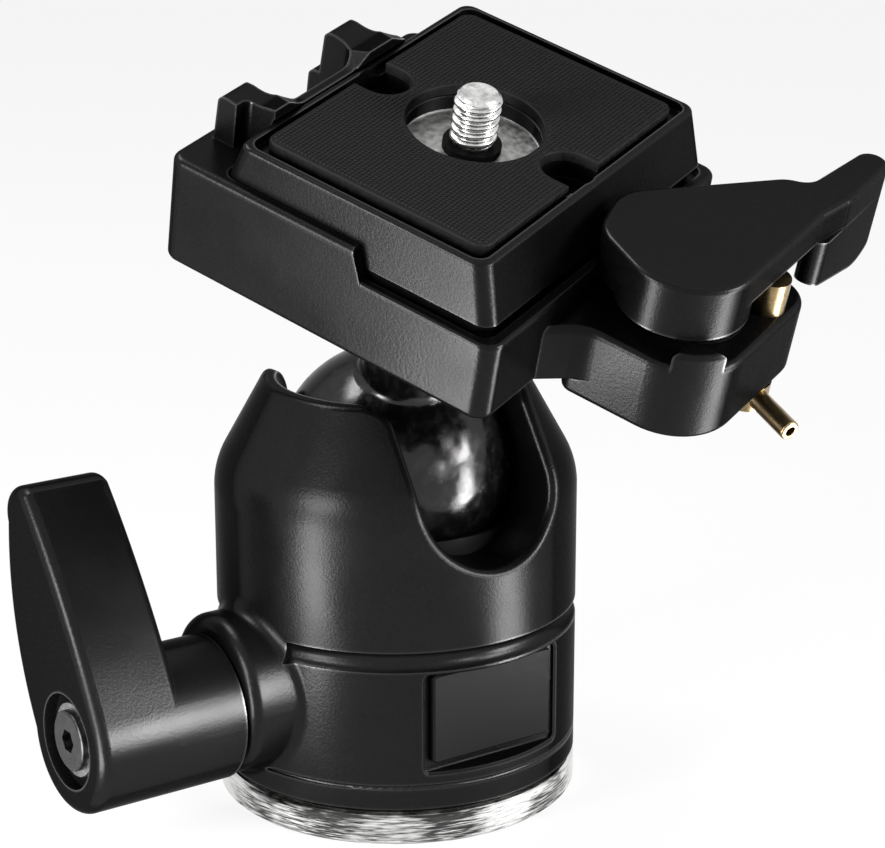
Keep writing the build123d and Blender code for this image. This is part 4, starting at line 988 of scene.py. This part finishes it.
def low_strip(name, level, stage):
    """A long lamp on the floor that leans outwards and shows as a bright band in upright walls."""
    lean = level * (stage.strip_end - stage.strip_start) + UP * stage.strip_rise
    place = level * stage.strip_start + lean / 2.0
    face = lean.cross(UP.cross(level)).normalized()
    soft_lamp(name, place, place + face, (stage.strip_width, lean.length), stage.strip_power)


def place_lamps(stage, near):
    """Two strips and two standing lamps beside the head, one lamp overhead and one on the lever's hub."""
    middle = UP * stage.lamp_aim
    side_size = (stage.side_width, stage.side_height)
    for side, turn in (("left", stage.left_turn), ("right", stage.right_turn)):
        level = Matrix.Rotation(turn, 3, UP) @ near
        low_strip(f"{side}_strip", level, stage)
        rise = level * cos(stage.side_rise) + UP * sin(stage.side_rise)
        soft_lamp(f"{side}_lamp", middle + rise * stage.side_reach, middle, side_size, stage.side_power)

    level = Matrix.Rotation(stage.top_turn, 3, UP) @ near
    place = middle + level * stage.top_reach + UP * stage.top_rise
    soft_lamp("top_lamp", place, middle, (stage.top_width, stage.top_height), stage.top_power)

    level = Matrix.Rotation(stage.hub_turn, 3, UP) @ near
    place = HUB_FRONT + level * stage.hub_reach + UP * stage.hub_rise
    size = (stage.hub_width, stage.hub_height)
    soft_lamp("hub_lamp", place, HUB_FRONT, size, stage.hub_power, stage.hub_beam)


class BALLHEAD_OT_stage(Operator):
    """Set the floor, the lamps and the camera"""

    bl_idname = "ballhead.stage"
    bl_label = "Set Stage"

    def execute(self, context):
        stage = context.scene.ball_head.stage
        context.scene.view_settings.view_transform = "Standard"
        studio_world(stage)
        studio_floor(stage)
        aim = Vector(stage.camera_aim).normalized()
        place_lamps(stage, Vector((-aim.x, -aim.y, 0.0)).normalized())
        lens = bpy.data.cameras.new("studio_camera")
        lens.lens = stage.lens
        lens.sensor_width = 36.0
        lens.clip_start = 0.01
        camera = new_object("studio_camera", lens)
        camera.location = stage.camera_place
        camera.rotation_euler = aim.to_track_quat("-Z", "Y").to_euler()
        context.scene.camera = camera
        return {"FINISHED"}


OPERATORS = (
    BALLHEAD_OT_castings,
    BALLHEAD_OT_ball,
    BALLHEAD_OT_disc,
    BALLHEAD_OT_lever_end,
    BALLHEAD_OT_badge,
    BALLHEAD_OT_catch,
    BALLHEAD_OT_inner,
    BALLHEAD_OT_camera_screw,
    BALLHEAD_OT_pad,
    BALLHEAD_OT_stage,
)


class BALLHEAD_PT_panel(Panel):
    """Lists the steps that finish the ball head"""

    bl_idname = "BALLHEAD_PT_panel"
    bl_label = "Ball Head"
    bl_space_type = "VIEW_3D"
    bl_region_type = "UI"
    bl_category = "Ball Head"

    def draw(self, context):
        settings = context.scene.ball_head
        for operator in OPERATORS:
            self.layout.operator(operator.bl_idname)
        for group in (settings.finish, settings.thread, settings.pad, settings.plate, settings.stage):
            box = self.layout.box()
            for name in group.bl_rna.properties.keys():
                if name not in {"rna_type", "name"}:
                    box.prop(group, name)


GROUPS = (FinishSettings, ThreadSettings, PadSettings, PlateSettings, StageSettings, BallHeadSettings)


def register():
    """Adds the settings, the operators and the panel to Blender."""
    for item in (*GROUPS, *OPERATORS, BALLHEAD_PT_panel):
        bpy.utils.register_class(item)
    bpy.types.Scene.ball_head = PointerProperty(
        type=BallHeadSettings, name="Ball Head", description="Settings of the ball head")


def unregister():
    """Takes them out again."""
    del bpy.types.Scene.ball_head
    for item in reversed((*GROUPS, *OPERATORS, BALLHEAD_PT_panel)):
        bpy.utils.unregister_class(item)


def main():
    """Runs each step in order."""
    register()
    bpy.ops.ballhead.castings()
    bpy.ops.ballhead.ball()
    bpy.ops.ballhead.disc()
    bpy.ops.ballhead.lever_end()
    bpy.ops.ballhead.badge()
    bpy.ops.ballhead.catch()
    bpy.ops.ballhead.inner()
    bpy.ops.ballhead.camera_screw()
    bpy.ops.ballhead.pad()
    bpy.ops.ballhead.stage()


if __name__ == "__main__":
    main()
